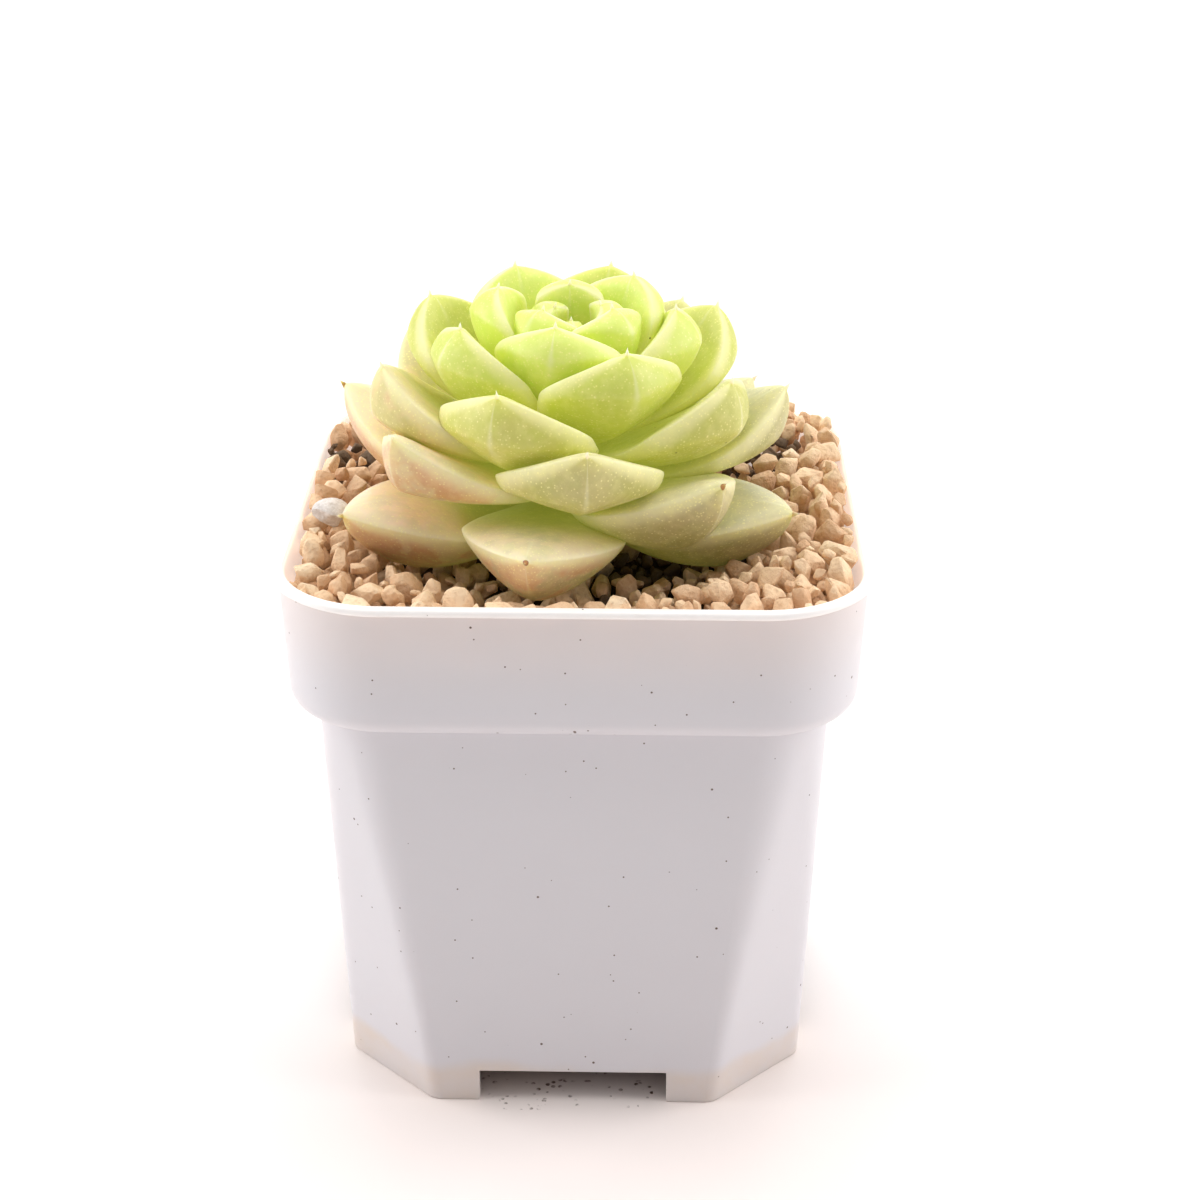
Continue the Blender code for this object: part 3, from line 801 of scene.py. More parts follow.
# ------------------------------------------------------------------ plant
@dataclass
class Rosette:
    """Thirty-four thick keeled leaves round a leaning stem, one golden angle after another.

    Leaves nest in shells: each fills the space between a shell above its middle surface and one
    below it. A leaf is pressed against the ones that it overlaps.
    """

    place: tuple[float, float, float] = (-1.4, -2.0, 70.0)
    pivot: float = 5.0
    lean_right: float = 1.5
    lean_front: float = 3.7
    stem_radius: float = 3.5
    first_leaf: int = 2
    last_leaf: int = 35
    first_azimuth: float = 196.1
    divergence: float = 137.33
    radius: float = 29.2
    full_leaf: float = 34.0
    crown_height: float = 28.6
    crown_drop: float = 25.0
    crown_power: float = 2.25
    heart_dip: float = 5.5
    heart_shells: float = 5.0
    heart_pinch: float = 1.1
    base_top: float = 18.0
    base_drop: float = 17.0
    base_power: float = 0.9
    seedling: float = 0.34
    growing: float = 0.66
    grown_at: float = 22.0
    old_from: float = 20.0
    old_over: float = 8.0
    handle: float = 0.36
    fullest: float = 0.6
    blend: float = 0.1
    half_width: float = 10.4
    back: float = 5.3
    face: float = 1.7
    inner_wrap: float = 50.0
    outer_wrap: float = 40.0
    wrap_from: float = 8.0
    wrap_over: float = 14.0
    clearance: float = 0.5
    release: float = 9.0
    far_apart: float = 0.5
    bottom_leaves: int = 8
    hanging_shells: float = 6.0
    margin: float = 0.42
    mucro_length: float = 0.95
    mucro_radius: float = 0.34
    rings: int = 46
    mucro_rings: int = 7
    side_steps: int = 22
    heart_until: int = 11
    middle_until: int = 24
    strays: dict[int, tuple[float, float]] = field(
        default_factory=lambda: {
            **{5: (5, 0.25), 6: (0, -1), 7: (3, -0.5), 12: (0, -0.5), 13: (4, 0.5), 14: (0, 0.5)},
            **{15: (0, -1), 16: (3, 0), 18: (5, 1), 21: (8, 0), 23: (-1, 0.75), 25: (-4, 0)},
            **{26: (-3, -0.5), 29: (-4, -0.75), 31: (4, 1.5), 33: (-6, 0.5), 34: (1, 0)},
        }
    )
    brown_tips: dict[int, float] = field(
        default_factory=lambda: {29: 1.0, 31: 0.9, 28: 0.9, 33: 0.7, 34: 0.7, 35: 0.8, 32: 0.6, 30: 0.5}
    )
    least_brown: float = 0.08
    left_tone: float = 0.42
    skin: LeafSkin = LeafSkin()

    def shell(self, number: int) -> float:
        """Give the shell that a leaf grows in."""
        return number + self.strays.get(number, (0.0, 0.0))[1]

    def azimuth(self, number: int) -> float:
        """Give the direction in which a leaf points, in radians."""
        turn = self.strays.get(number, (0.0, 0.0))[0]
        return math.radians(self.first_azimuth - self.divergence * number + turn)

    def size(self, number: int) -> float:
        """Give a leaf's size as a share of a full grown one."""
        age = min(1.0, number / self.grown_at) ** 0.8
        return self.seedling + self.growing * math.sin(math.pi / 2 * age)

    def meridian(self, shell: Array, along: Array) -> tuple[Array, Array]:
        """Follow a shell from the stem to its tip.

        Args:
            shell: The shell.
            along: Shares of the way, of a shape that fits the shell's.

        Returns:
            Radius and height there, in millimetres.
        """
        share = np.maximum(shell, 0.0) / self.full_leaf
        beyond = np.maximum(share - 1.0, 0.0)
        tip_r = self.radius * np.sin(math.pi / 2 * np.minimum(share**1.15, 1.0)) + 2.0 * beyond
        tip_r = np.maximum(tip_r - self.heart_pinch * np.exp(-((shell / 3.5) ** 2)), 0.2)
        tip_z = self.crown_height - self.crown_drop * share**self.crown_power
        tip_z = tip_z - self.heart_dip * np.exp(-((shell / self.heart_shells) ** 2))
        base_z = self.base_top - self.base_drop * share**self.base_power
        at_base = np.radians(72.0 - 78.0 * share**0.8)
        at_tip = np.radians(110.0 - 38.0 * share - 66.0 * share**3)
        reach = self.handle * np.hypot(tip_r - self.stem_radius, tip_z - base_z)
        stem, cos_tip, sin_tip = self.stem_radius, reach * np.cos(at_tip), reach * np.sin(at_tip)
        radius = self.curve(stem, reach * np.cos(at_base), cos_tip, tip_r, along)
        height = self.curve(base_z, reach * np.sin(at_base), sin_tip, tip_z, along)
        return radius, height

    @staticmethod
    def curve(start: Array | float, lead: Array, trail: Array, end: Array, along: Array) -> Array:
        """Follow a cubic curve between two values, which starts by a lead and ends by a trail."""
        left = 1.0 - along
        first = start * left**3 + 3 * (start + lead) * along * left**2
        return first + 3 * (end - trail) * along**2 * left + end * along**3

    def outline(self, number: int, along: Array) -> Array:
        """Give a blade's half width as a share of its widest. Old leaves taper for longer."""
        old = min(max((number - self.old_from) / self.old_over, 0.0), 1.0)
        widest = 0.72 - 0.1 * old
        rise = 0.5 + 0.5 * np.sin(math.pi / 2 * np.minimum(along / widest, 1.0))
        past = np.clip((along - widest) / (1.0 - widest), 0.0, 1.0)
        return rise * (1.0 - past ** (1.7 - 0.3 * old)) ** 0.82

    def fullness(self, along: Array) -> Array:
        """Give a blade's thickness as a share of its thickest."""
        rise = 0.6 + 0.4 * np.sin(math.pi / 2 * np.minimum(along / self.fullest, 1.0))
        past = np.clip((along - self.fullest) / (1.0 - self.fullest), 0.0, 1.0)
        return rise * (1.0 - past**2.6) ** 0.62

    def spacing(self, shell: float, along: Array) -> Array:
        """Give the distance between neighbouring shells, in millimetres a shell."""
        r0, z0 = self.meridian(np.full_like(along, shell - 0.5), along)
        r1, z1 = self.meridian(np.full_like(along, shell + 0.5), along)
        ra, za = self.meridian(np.full_like(along, shell), along - 0.02)
        rb, zb = self.meridian(np.full_like(along, shell), along + 0.02)
        run = np.hypot(rb - ra, zb - za)
        return np.abs((r1 - r0) * (zb - za) - (z1 - z0) * (rb - ra)) / run

    def wrap(self, number: int) -> float:
        """Give the most that a leaf may reach round the stem from its middle line, in radians."""
        share = min(max((number - self.wrap_from) / self.wrap_over, 0.0), 1.0)
        return math.radians(self.inner_wrap + (self.outer_wrap - self.inner_wrap) * share)

    def half_angle(self, number: int, along: Array, least: Array | float = 0.0) -> Array:
        """Give half the angle round the stem that a blade takes up.

        Args:
            number: The leaf.
            along: Shares of the way from the stem to the tip.
            least: Least half width in millimetres, for the drawn out tip.

        Returns:
            The half angles in radians.
        """
        radius = self.meridian(np.full_like(along, self.shell(number)), along)[0]
        width = self.half_width * self.size(number) * self.outline(number, along)
        width = np.sqrt(width**2 + np.asarray(least) ** 2)
        return np.maximum(smooth_min(width / radius, self.wrap(number), self.blend), 0.002)

    def free(self, number: int, angle: Array) -> Array:
        """Give how many shells a leaf may fill on one side, at an angle from its middle line."""
        wrap = self.wrap(number)
        to_third = abs((3 * self.divergence + 180.0) % 360.0 - 180.0)
        fall = (3.0 - self.clearance) / (2 * wrap - math.radians(to_third))
        return np.maximum(fall * (wrap - np.abs(angle)), 0.0)

    def wished_fill(self, number: int, along: Array, angle: Array) -> tuple[Array, Array]:
        """Give the shells that a leaf would fill above and below its middle if it grew alone."""
        side = np.minimum(np.abs(angle) / self.half_angle(number, along), 1.0)
        full = self.fullness(along) * self.size(number) / self.spacing(self.shell(number), along)
        free = self.free(number, angle)
        hang = free + (self.hanging_shells if number > self.last_leaf - self.bottom_leaves else 0.0)
        face = full * self.face * (1.0 - side**2.2)
        back = full * self.back * (1.0 - side**1.6) ** 0.85
        inside = side < 1.0
        face = np.where(inside, np.maximum(smooth_min(face, free, self.blend), 0.0), 0.0)
        back = np.where(inside, np.maximum(smooth_min(back, hang, self.blend), 0.0), 0.0)
        return face, back

    def shared_fill(self, number: int, along: Array, angle: Array) -> tuple[Array, Array]:
        """Give the shells that a leaf fills above and below, pressed against its neighbours.

        Args:
            number: The leaf.
            along: Shares of the way from the stem to the tip, as a column.
            angle: Angles from the leaf's middle line, a row for each share.

        Returns:
            Shells filled above and below the middle surface.
        """
        along = np.broadcast_to(along, angle.shape)
        face, back = self.wished_fill(number, along, angle)
        pressed_face, pressed_back = face.copy(), back.copy()
        for other in range(self.first_leaf, self.last_leaf + 1):
            apart = self.azimuth(number) + angle - self.azimuth(other)
            apart = (apart + math.pi) % (2 * math.pi) - math.pi
            past_margin = np.maximum(np.abs(apart) - self.half_angle(other, along), 0.0)
            if other == number or past_margin.min() > self.far_apart:
                continue
            other_face, other_back = self.wished_fill(other, along, apart)
            space = self.shell(other) - self.shell(number)
            ours, theirs = (back, other_face) if space > 0 else (face, other_back)
            share = (abs(space) - self.clearance) / np.maximum(ours + theirs, 1e-6)
            pressed = ours * np.clip(share, 0.0, 1.0) + self.release * past_margin
            if space > 0:
                pressed_back = np.minimum(pressed_back, pressed)
            else:
                pressed_face = np.minimum(pressed_face, pressed)
        return pressed_face, pressed_back

    def blade(self, number: int) -> tuple[Array, Array]:
        """Work out the surface of one leaf that points along +X, as a grid.

        Args:
            number: The leaf.

        Returns:
            Points in millimetres, and the attribute along, side and upper at each, ring by ring.
        """
        size, shell = self.size(number), self.shell(number)
        length = self.mucro_length * (0.55 + 0.45 * size)
        radius = self.mucro_radius * (0.5 + 0.5 * size + 0.4 * self.brown_tips.get(number, 0.0))
        stations = 1.0 - (1.0 - np.linspace(0.0, 1.0, self.rings)) ** 1.45
        along = np.concatenate([stations, np.ones(self.mucro_rings)])[:, None]
        point = np.linspace(0, 1, self.mucro_rings + 1)[1:]
        beyond = np.concatenate([np.zeros(self.rings), point])[:, None]
        last_share = 0.04
        tip_r, tip_z = self.meridian(np.array([shell, shell]), np.array([1.0 - last_share, 1.0]))
        last_run = math.hypot(tip_r[1] - tip_r[0], tip_z[1] - tip_z[0])
        to_tip = (1.0 - along) * last_run / last_share + length * (1.0 - beyond)
        spine = radius * np.clip(to_tip / length, 0.0, 1.0) ** 0.8 * (1.0 - 0.985 * beyond**6)
        side = np.sin(np.linspace(-1.0, 1.0, 2 * self.side_steps + 1) * math.pi / 2)[None, :]
        angle = side * self.half_angle(number, along, spine)
        face, back = self.shared_fill(number, along, angle)
        spacing = self.spacing(shell, along)
        fade = self.outline(number, along) ** 0.5
        edge = np.sqrt(np.maximum(1.0 - np.abs(side) ** 14, 0.0))
        rounded = np.sqrt(np.maximum(1.0 - side**2, 0.0))
        thick = self.margin * size * fade * edge + spine * rounded * (1.0 - fade)
        swell = self.swelling(number, along, side) * fade * edge * size
        face = np.maximum(face + (thick * 0.6 + swell * 0.5) / spacing, 0.0)
        back = np.maximum(back + (thick + swell) / spacing, 0.0)
        along_all, side_all = np.broadcast_arrays(along, side)
        push = beyond * length / last_run
        halves = []
        there, again = slice(None), slice(2 * self.side_steps - 1, 0, -1)
        for shells, columns, upper in ((shell - face, there, 0.5), (shell + back, again, -0.5)):
            r, z = self.meridian(shells, along_all)
            r = (r + push * (tip_r[1] - tip_r[0]))[:, columns]
            z = (z + push * (tip_z[1] - tip_z[0]))[:, columns]
            turn, out = angle[:, columns], np.abs(side_all[:, columns])
            station = (along_all + beyond)[:, columns]
            lit = 0.5 + upper * (1.0 - out**10)
            halves.append(np.stack([r * np.cos(turn), r * np.sin(turn), z, station, out, lit], axis=-1))
        grid = np.concatenate(halves, axis=1).reshape(-1, 6)
        return grid[:, :3], grid[:, 3:]

    @staticmethod
    def swelling(number: int, along: Array, side: Array) -> Array:
        """Give the slight unevenness of a leaf's faces, in millimetres.

        Args:
            number: The leaf.
            along: Shares of the way from the stem to the tip, as a column.
            side: Shares of the way from the middle line to the margins, as a row.

        Returns:
            How far the faces swell out.
        """
        phase = np.random.default_rng(number).uniform(0.0, 6.28, 4)
        broad, fine = 0.10, 0.05
        swell = broad * np.sin(5.0 * along + phase[0]) * np.cos(2.5 * side + phase[1])
        return swell + fine * np.sin(11.0 * along + phase[2]) * np.cos(6.0 * side + phase[3])

    def leaf(self, number: int, material: Material) -> Thing:
        """Build one leaf, stand it on the leaning stem and dress it.

        Args:
            number: The leaf.
            material: Its skin.

        Returns:
            The leaf.
        """
        points, marks = self.blade(number)
        around = 4 * self.side_steps
        stand = self.stand(self.azimuth(number))
        shape = bmesh.new()
        verts = [shape.verts.new(stand @ (Vector(point) * MM)) for point in points]
        for a in range(0, len(verts) - around, around):
            b = a + around
            for i in range(around):
                j = (i + 1) % around
                shape.faces.new((verts[a + i], verts[b + i], verts[b + j], verts[a + j]))
        shape.faces.new(verts[:around][::-1])
        shape.faces.new(verts[-around:])
        bmesh.ops.recalc_face_normals(shape, faces=shape.faces)
        leaf = as_object(f"succulent_leaf_{number:02d}", shape)
        mark(leaf.data, "blade", marks)
        tone = 0.5 - self.left_tone * math.cos(self.azimuth(number)) + 0.1 * math.sin(7.0 * number)
        brown = self.brown_tips.get(number, self.least_brown)
        mark(leaf.data, "growth", np.tile([number / self.last_leaf, tone, brown], (len(points), 1)))
        leaf.data.materials.append(material)
        return leaf

    def stand(self, azimuth: float = 0.0) -> Matrix:
        """Give the matrix that stands a piece, made round the stem's axis, in the leaning plant."""
        lean = Matrix.Rotation(math.radians(self.lean_right), 4, "Y") @ Matrix.Rotation(
            math.radians(self.lean_front), 4, "X"
        )
        pivot = Vector(self.place) + Vector((0.0, 0.0, self.pivot))
        down = Matrix.Translation(Vector((0.0, 0.0, -self.pivot)) * MM)
        return Matrix.Translation(pivot * MM) @ lean @ down @ Matrix.Rotation(azimuth, 4, "Z")

    def build(self) -> list[Thing]:
        """Build every leaf.

        Returns:
            The leaves, from the heart outwards.
        """
        material = self.skin.material()
        leaves = []
        for number in range(self.first_leaf, self.last_leaf + 1):
            leaf = self.leaf(number, material)
            hand_over(leaf, f"leaf_{number:02d}")
            leaves.append(leaf)
        return leaves


# ------------------------------------------------------------------ filling
def broken_grain(name: str, seed: int, corners: int, worn: float) -> Thing:
    """Make a small broken grain of about unit radius, with flat faces and worn edges.

    Args:
        name: Name of the object.
        seed: Seed of its shape.
        corners: How many corners it breaks into.
        worn: Width of the worn edges as a share of its radius.

    Returns:
        The grain, one metre in radius, at the origin.
    """
    golden, flat, jitter = math.pi * (3.0 - math.sqrt(5.0)), math.radians(16), 0.24
    rng = np.random.default_rng(seed)
    grain = bmesh.new()
    for corner in range(corners):
        height = 1.0 - 2.0 * (corner + 0.5) / corners
        reach = math.sqrt(1.0 - height * height)
        point = np.array([reach * math.cos(golden * corner), reach * math.sin(golden * corner), height])
        point = point + rng.normal(size=3) * jitter
        grain.verts.new(point / np.linalg.norm(point) * rng.uniform(0.86, 1.1))
    bmesh.ops.convex_hull(grain, input=grain.verts[:])
    loose = [vertex for vertex in grain.verts if not vertex.link_faces]
    bmesh.ops.delete(grain, geom=loose, context="VERTS")
    bmesh.ops.dissolve_limit(grain, angle_limit=flat, verts=grain.verts[:], edges=grain.edges[:])
    edges = grain.edges[:]
    bmesh.ops.bevel(
        grain, geom=edges, offset=worn, segments=1, profile=0.5, affect="EDGES", clamp_overlap=True
    )
    stretch = Vector((rng.uniform(1.1, 1.4), rng.uniform(0.8, 1.0), rng.uniform(0.6, 0.85)))
    bmesh.ops.scale(grain, vec=stretch, verts=grain.verts[:])
    bmesh.ops.recalc_face_normals(grain, faces=grain.faces[:])
    return as_object(name, grain, sharp_deg=38.0)


@dataclass
class TopDressing:
    """Loose grains of baked clay, dropped one by one between the pot's wall and the rosette.

    The heap is highest at the back, dips under the leaves, and shows dark soil in a few gaps; the
    patches under the front leaves also stand in for the shade there.
    """

    pot: NurseryPot
    rosette: Rosette
    soil_top: float = 61.9
    below_lip: float = 0.8
    back_rise: float = 1.6
    right_rise: float = 0.9
    middle_dip: float = 4.7
    dip_radius: float = 21.0
    dip_end: float = 31.0
    stem_clear: float = 5.0
    layers: tuple[tuple[float, float, float, int], ...] = (
        (1.0, 2.1, -2.3, 500),
        (1.6, 2.9, 1.0, 420),
        (1.1, 1.8, 0.7, 300),
        (0.8, 1.1, 0.2, 100),
    )
    wall_reach: float = 0.72
    nesting: float = 0.84
    seating: float = 0.7
    cover: float = 0.72
    leaf_reach: float = 0.82
    patch_depth: float = 2.2
    soil_reach: float = 1.05
    crumb: float = 0.7
    forgiven: int = 20
    tries: int = 16
    most: int = 1800
    kinds: int = 14
    worn: float = 0.09
    seed: int = 11
    # Patches of dark soil crumbs, each x, y and reach. Those under the front leaves are also set where
    # the gaps lie in shade, so their dark crumbs are partly painted shade.
    soil_and_shade_patches: tuple[tuple[float, float, float], ...] = (
        (8.7, -7.5, 5.0),
        (-29.5, 16.5, 3.6),
        (23.3, 19.0, 4.6),
        (18.6, -19.5, 1.8),
        (-17.5, -19.6, 1.6),
        (3.6, -18.0, 2.0),
    )
    clay: BakedClay = BakedClay()

    def level(self, x: Array, y: Array) -> Array:
        """Give the height of the heap's top at a place."""
        out = np.hypot(x - self.rosette.place[0], y - self.rosette.place[1]) - self.dip_radius
        share = np.clip(out / (self.dip_end - self.dip_radius), 0.0, 1.0)
        dip = self.middle_dip * (1.0 - share * share * (3.0 - 2.0 * share))
        back = np.clip(0.5 + y / self.pot.lip_across, 0.0, 1.0)
        rise = self.back_rise * back * back * (3.0 - 2.0 * back)
        rise = rise + self.right_rise * np.clip(2.0 * x / self.pot.lip_across, 0.0, 1.0) ** 2
        top = self.pot.height - self.below_lip + rise - dip
        for px, py, reach in self.soil_and_shade_patches:
            top = top - self.patch_depth * np.exp(-(((x - px) ** 2 + (y - py) ** 2) / reach**2))
        return top

    def inside(self, x: Array, y: Array, radius: float) -> Array:
        """Tell whether a grain at a place keeps clear of the pot's wall and the stem."""
        half = self.pot.lip_across / 2 - self.pot.opening_inset - 0.1 - radius
        corner = max(self.pot.rim_corner_radius - self.pot.opening_inset - radius, 0.5)
        over_x = np.maximum(np.abs(x) - (half - corner), 0.0)
        over_y = np.maximum(np.abs(y) - (half - corner), 0.0)
        stem = np.hypot(x - self.rosette.place[0], y - self.rosette.place[1])
        return (np.hypot(over_x, over_y) < corner) & (stem > self.stem_clear + radius)

    def drop(self, leaves: Iterable[Thing]) -> Array:
        """Drop grains where they come to lie lowest, up to the heap's top and clear of the leaves.

        Args:
            leaves: The leaves that the grains keep clear of.

        Returns:
            A row for each grain: its centre, its radius and whether it is a crumb of soil.
        """
        tree = self.leaf_tree(leaves)
        rng = np.random.default_rng(self.seed)
        grains = np.zeros((self.most, 5))
        count = 0
        half = self.pot.lip_across / 2
        for smallest, largest, proud, patience in self.layers:
            misses = 0
            while count < self.most and misses < patience:
                radius = smallest + (largest - smallest) * rng.beta(1.6, 2.2)
                x, y = rng.uniform(-half, half, (2, self.tries))
                fits = self.inside(x, y, radius * self.wall_reach)
                placed = grains[:count]
                apart = (x[:, None] - placed[:, 0]) ** 2 + (y[:, None] - placed[:, 1]) ** 2
                reach = (self.nesting * (radius + placed[:, 3])) ** 2
                over = placed[:, 2] + np.sqrt(np.maximum(reach - apart, 0.0))
                touch = np.where(apart < reach, over, 0.0)
                z = np.maximum(touch.max(axis=1, initial=0.0), self.soil_top + radius * self.seating)
                room = self.level(x, y) + proud - radius * self.cover - z
                room[~fits] = -1.0
                best = int(np.argmax(np.where(room > 0.0, room, -1.0)))
                spot = Vector((x[best], y[best], z[best]))
                if room[best] <= 0.0 or tree.find_nearest(spot * MM)[3] < radius * self.leaf_reach * MM:
                    misses += 1
                    continue
                soil = self.on_soil(spot)
                grains[count] = (*spot, radius * (self.crumb if soil else 1.0), float(soil))
                count, misses = count + 1, max(misses - self.forgiven, 0)
        return grains[:count]

    def on_soil(self, spot: Vector) -> bool:
        """Tell whether a grain at this place is a crumb of soil."""
        ways = ((math.hypot(spot.x - x, spot.y - y), reach) for x, y, reach in self.soil_and_shade_patches)
        return any(away < self.soil_reach * reach for away, reach in ways)

    @staticmethod
    def leaf_tree(leaves: Iterable[Thing]) -> BVHTree:
        """Make one search tree of all the leaves."""
        points, faces = [], []
        for leaf in leaves:
            start = len(points)
            points += [vertex.co.copy() for vertex in leaf.data.vertices]
            faces += [[start + i for i in face.vertices] for face in leaf.data.polygons]
        return BVHTree.FromPolygons(points, faces)

    def scatter_tree(self) -> bpy.types.NodeTree:
        """Build the node tree that puts a grain on every point of a cloud.

        Returns:
            The tree. Its inputs are the grains, a scale, a seed and the finish.
        """
        tree = bpy.data.node_groups.new("scatter_grains", "GeometryNodeTree")
        named = {"Geometry": "Geometry", "Grain Kinds": "Collection", "Grain Scale": "Float"}
        for name, kind in {**named, "Seed": "Int", "Finish": "Material"}.items():
            tree.interface.new_socket(name, in_out="INPUT", socket_type="NodeSocket" + kind)
        tree.interface.new_socket("Geometry", in_out="OUTPUT", socket_type="NodeSocketGeometry")
        bench = TreeBench(tree)
        given = bench.add("NodeGroupInput", {}).outputs
        inputs = {"Collection": given["Grain Kinds"], "Separate Children": True, "Reset Children": True}
        kinds = bench.add("GeometryNodeCollectionInfo", inputs)
        drawn = {}
        ranges = (("FLOAT_VECTOR", None, (6.283,) * 3), ("INT", 0, self.kinds - 1), ("FLOAT", 0.0, 1.0))
        for kind, least, most in ranges:
            draw = bench.add("FunctionNodeRandomValue", {"Seed": given["Seed"]}, data_type=kind)
            limits = [one for one in draw.inputs if one.enabled and one.name in ("Min", "Max")]
            for socket, limit in zip(limits, (least, most)):
                if limit is not None:
                    socket.default_value = limit
            drawn[kind] = next(socket for socket in draw.outputs if socket.enabled)
        inputs = {"Geometry": given["Geometry"], "Name": "tone", "Value": drawn["FLOAT"]}
        keep = bench.add("GeometryNodeStoreNamedAttribute", inputs, data_type="FLOAT", domain="POINT")
        radius = bench.add("GeometryNodeInputNamedAttribute", {"Name": "radius_m"}, data_type="FLOAT")
        inputs = {0: radius.outputs["Attribute"], 1: given["Grain Scale"]}
        scaled = bench.add("ShaderNodeMath", inputs, operation="MULTIPLY")
        inputs = {"Points": keep.outputs["Geometry"], "Instance": kinds.outputs[0]}
        inputs.update({"Pick Instance": True, "Instance Index": drawn["INT"]})
        inputs.update({"Rotation": drawn["FLOAT_VECTOR"], "Scale": scaled.outputs[0]})
        scatter = bench.add("GeometryNodeInstanceOnPoints", inputs)
        real = bench.add("GeometryNodeRealizeInstances", {0: scatter.outputs[0]})
        inputs = {"Geometry": real.outputs[0], "Material": given["Finish"]}
        bench.add("NodeGroupOutput", {0: bench.add("GeometryNodeSetMaterial", inputs).outputs[0]})
        return tree

    def build(self, leaves: Iterable[Thing]) -> Thing:
        """Drop the grains, scatter their shapes and dress them.

        Args:
            leaves: The leaves that the grains keep clear of.

        Returns:
            The heap of grains.
        """
        grains = self.drop(leaves)
        cloud = bpy.data.meshes.new("grain_cloud")
        cloud.from_pydata([tuple(row[:3] * MM) for row in grains], [], [])
        mark(cloud, "radius_m", grains[:, 3] * MM)
        mark(cloud, "soil", grains[:, 4])
        heap = put("grain_cloud", cloud)
        kinds = bpy.data.collections.new("grain_kinds")
        shapes = []
        for kind in range(self.kinds):
            shape = broken_grain(f"grain_{kind:02d}", kind, 10 + kind % 5, self.worn)
            kinds.objects.link(shape)
            bpy.context.scene.collection.objects.unlink(shape)
            shapes.append(shape)
        scatter = heap.modifiers.new("scatter", "NODES")
        scatter.node_group = self.scatter_tree()
        values = {"Grain Kinds": kinds, "Grain Scale": 1.0, "Seed": self.seed}
        values["Finish"] = self.clay.material()
        for socket in scatter.node_group.interface.items_tree:
            if socket.item_type == "SOCKET" and socket.in_out == "INPUT" and socket.name in values:
                scatter[socket.identifier] = values[socket.name]
        heap = settle(heap, "clay_top_dressing")
        for shape in shapes:
            discard(shape)
        bpy.data.collections.remove(kinds)
        hand_over(heap, "top_dressing")
        LOG.info("top dressing: %d grains", len(grains))
        return heap


@dataclass
class PumiceGrain:
    """The pale pumice grain that lies on the grit at the left."""

    finish: MattEarth = MattEarth("pumice", srgb(214, 206, 200), srgb(252, 248, 246), 0.7, 0.25)
    seed: int = 5
    breaks: int = 8
    break_at: tuple[float, float] = (0.5, 0.8)
    flatness: float = 0.92
    crumple: float = 0.03
    sharp_deg: float = 42.0

    def rough_ball(self) -> Thing:
        """Cut flat breaks into a ball and crumple it.

        Returns:
            The grain, about one metre in radius, at the origin.
        """
        rng = np.random.default_rng(self.seed)
        grain = bmesh.new()
        bmesh.ops.create_icosphere(grain, subdivisions=4, radius=1.0)
        points = np.array([vertex.co for vertex in grain.verts])
        for _ in range(self.breaks):
            normal = rng.normal(size=3)
            normal /= np.linalg.norm(normal)
            over = points @ normal - rng.uniform(*self.break_at)
            points -= np.clip(over, 0.0, None)[:, None] * normal * self.flatness
        waves = rng.normal(size=(4, 3)) * 2.4
        phases = rng.uniform(0.0, 6.28, 4)
        points *= 1.0 + self.crumple * np.sin(points @ waves.T + phases).sum(axis=1, keepdims=True)
        points *= np.array([1.14, rng.uniform(0.84, 1.0), rng.uniform(0.66, 0.86)])
        for vertex, point in zip(grain.verts, points):
            vertex.co = point
        return as_object("pale_pumice_grain", grain, sharp_deg=self.sharp_deg)

    def build(self) -> Thing:
        """Build the grain where its solid lies, and dress it."""
        low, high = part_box("pumice_grain")
        grain = self.rough_ball()
        points = np.array([vertex.co for vertex in grain.data.vertices])
        span = points.max(axis=0) - points.min(axis=0)
        middle = (points.max(axis=0) + points.min(axis=0)) / 2
        points = (points - middle) / span * np.array(high - low) + np.array((low + high) / 2)
        grain.data.vertices.foreach_set("co", points.astype(np.float32).ravel())
        grain.data.update()
        grain.data.materials.append(self.finish.material())
        hand_over(grain, "pumice_grain")
        return grain


@dataclass
class PlantFoot:
    """The soil and the stem, which keep their solids and get their finishes here."""

    soil: MattEarth = MattEarth("potting_soil", srgb(36, 27, 22), srgb(84, 64, 50), 1.2, 0.6)
    stem: MattEarth = MattEarth("stem_bark", srgb(120, 104, 62), srgb(168, 170, 92), 1.6, 0.2, 0.6)

    def dress(self, nodes: dict[str, Thing]) -> None:
        """Give the two solids their finishes.

        Args:
            nodes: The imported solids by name.
        """
        for name, finish in (("potting_soil", self.soil), ("stem", self.stem)):
            nodes[name].data.materials.clear()
            nodes[name].data.materials.append(finish.material())
            LOG.info("%s: dressed", name)


# ------------------------------------------------------------------ studio
@dataclass(frozen=True)
class Softbox:
    """A square soft light: its place and target in metres, its side and its brightness."""

    name: str
    place: tuple[float, float, float]
    side: float
    radiance: float
    colour: Colour = (1.0, 1.0, 1.0)
    target: tuple[float, float, float] = (0.0, 0.0, 0.05)

    def hang(self) -> Thing:
        """Hang the light."""
        data = bpy.data.lights.new(self.name, "AREA")
        data.shape = "SQUARE"
        data.size = self.side
        data.energy = math.pi * self.side**2 * self.radiance
        data.color = self.colour
        light = put(self.name, data)
        light.location = self.place
        aim = Vector(self.target) - Vector(self.place)
        light.rotation_euler = aim.to_track_quat("-Z", "Y").to_euler()
        return light


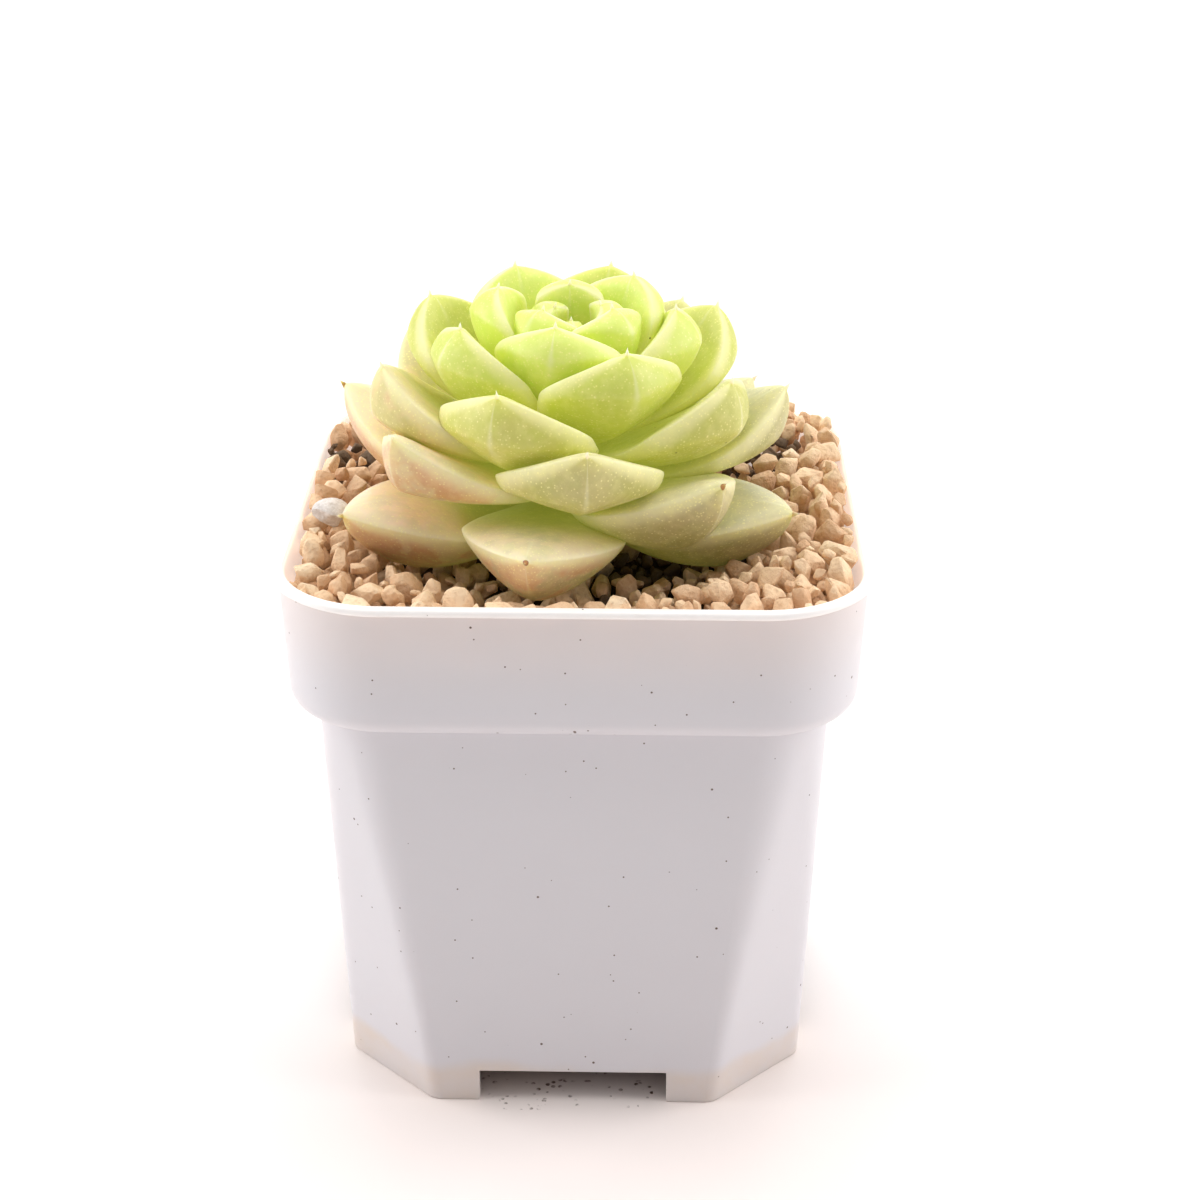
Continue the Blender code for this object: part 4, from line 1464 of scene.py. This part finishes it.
@dataclass
class Studio:
    """A bright high key studio: pale floor, soft light from above and both sides, the camera."""

    camera_place: tuple[float, float, float] = (7.60, -280.06, 182.03)
    camera_target: tuple[float, float, float] = (2.71, 0.05, 55.77)
    lens: float = 73.04
    roll: float = 0.16
    floor_radius: float = 1.6
    surround: float = 0.38
    backdrop: float = 1.05
    paper: StudioPaper = StudioPaper()
    lights: tuple[Softbox, ...] = (
        Softbox("light_top", (0.0, 0.12, 0.95), 0.9, 1.95, (1.0, 0.985, 0.97)),
        Softbox("light_left", (-0.8, 0.05, 0.42), 0.7, 3.25),
        Softbox("light_right", (0.8, 0.05, 0.42), 0.7, 3.1),
        Softbox("light_back", (0.0, 0.95, 0.5), 0.9, 1.6),
    )

    def lay_floor(self) -> None:
        """Lay the round paper floor."""
        disc = bmesh.new()
        bmesh.ops.create_circle(disc, cap_ends=True, segments=96, radius=self.floor_radius)
        floor = as_object("studio_floor", disc)
        floor.data.materials.append(self.paper.material())

    def light_surround(self) -> None:
        """Make the surround white to look at and dimmer as a light."""
        world = bpy.data.worlds.new("studio_surround")
        world.use_nodes = True
        bench = TreeBench(world.node_tree)
        seen = bench.add("ShaderNodeLightPath", {}).outputs["Is Camera Ray"]
        inputs = {"Value": seen, "To Min": self.surround, "To Max": self.backdrop}
        strength = bench.add("ShaderNodeMapRange", inputs).outputs["Result"]
        back = bench.tree.nodes["Background"].inputs
        bench.feed(back["Strength"], strength)
        bench.feed(back["Color"], (1.0, 1.0, 1.0))
        bpy.context.scene.world = world

    def set_camera(self) -> None:
        """Set up the camera."""
        data = bpy.data.cameras.new("studio_camera")
        data.lens = self.lens
        data.sensor_width = 36.0
        data.clip_start = 0.01
        camera = put("studio_camera", data)
        camera.location = Vector(self.camera_place) * MM
        aim = Vector(self.camera_target) - Vector(self.camera_place)
        roll = Matrix.Rotation(math.radians(self.roll), 3, "Z")
        turned = aim.to_track_quat("-Z", "Y").to_matrix() @ roll
        camera.rotation_euler = turned.to_euler()
        bpy.context.scene.camera = camera

    def build(self) -> None:
        """Build the studio."""
        self.lay_floor()
        self.light_surround()
        for light in self.lights:
            light.hang()
        self.set_camera()
        view = bpy.context.scene.view_settings
        view.view_transform = "Standard"
        view.look = "None"
        view.exposure = 0.0
        view.gamma = 1.0


def main() -> None:
    """Build the pieces in order, from the pot to the studio."""
    logging.basicConfig(level=logging.INFO, format="%(name)s: %(message)s")
    pot = NurseryPot()
    pot.build()
    rosette = Rosette()
    leaves = rosette.build()
    TopDressing(pot, rosette).build(leaves)
    PumiceGrain().build()
    PlantFoot().dress(frame["nodes"])
    Studio().build()


if __name__ == "__main__":
    main()
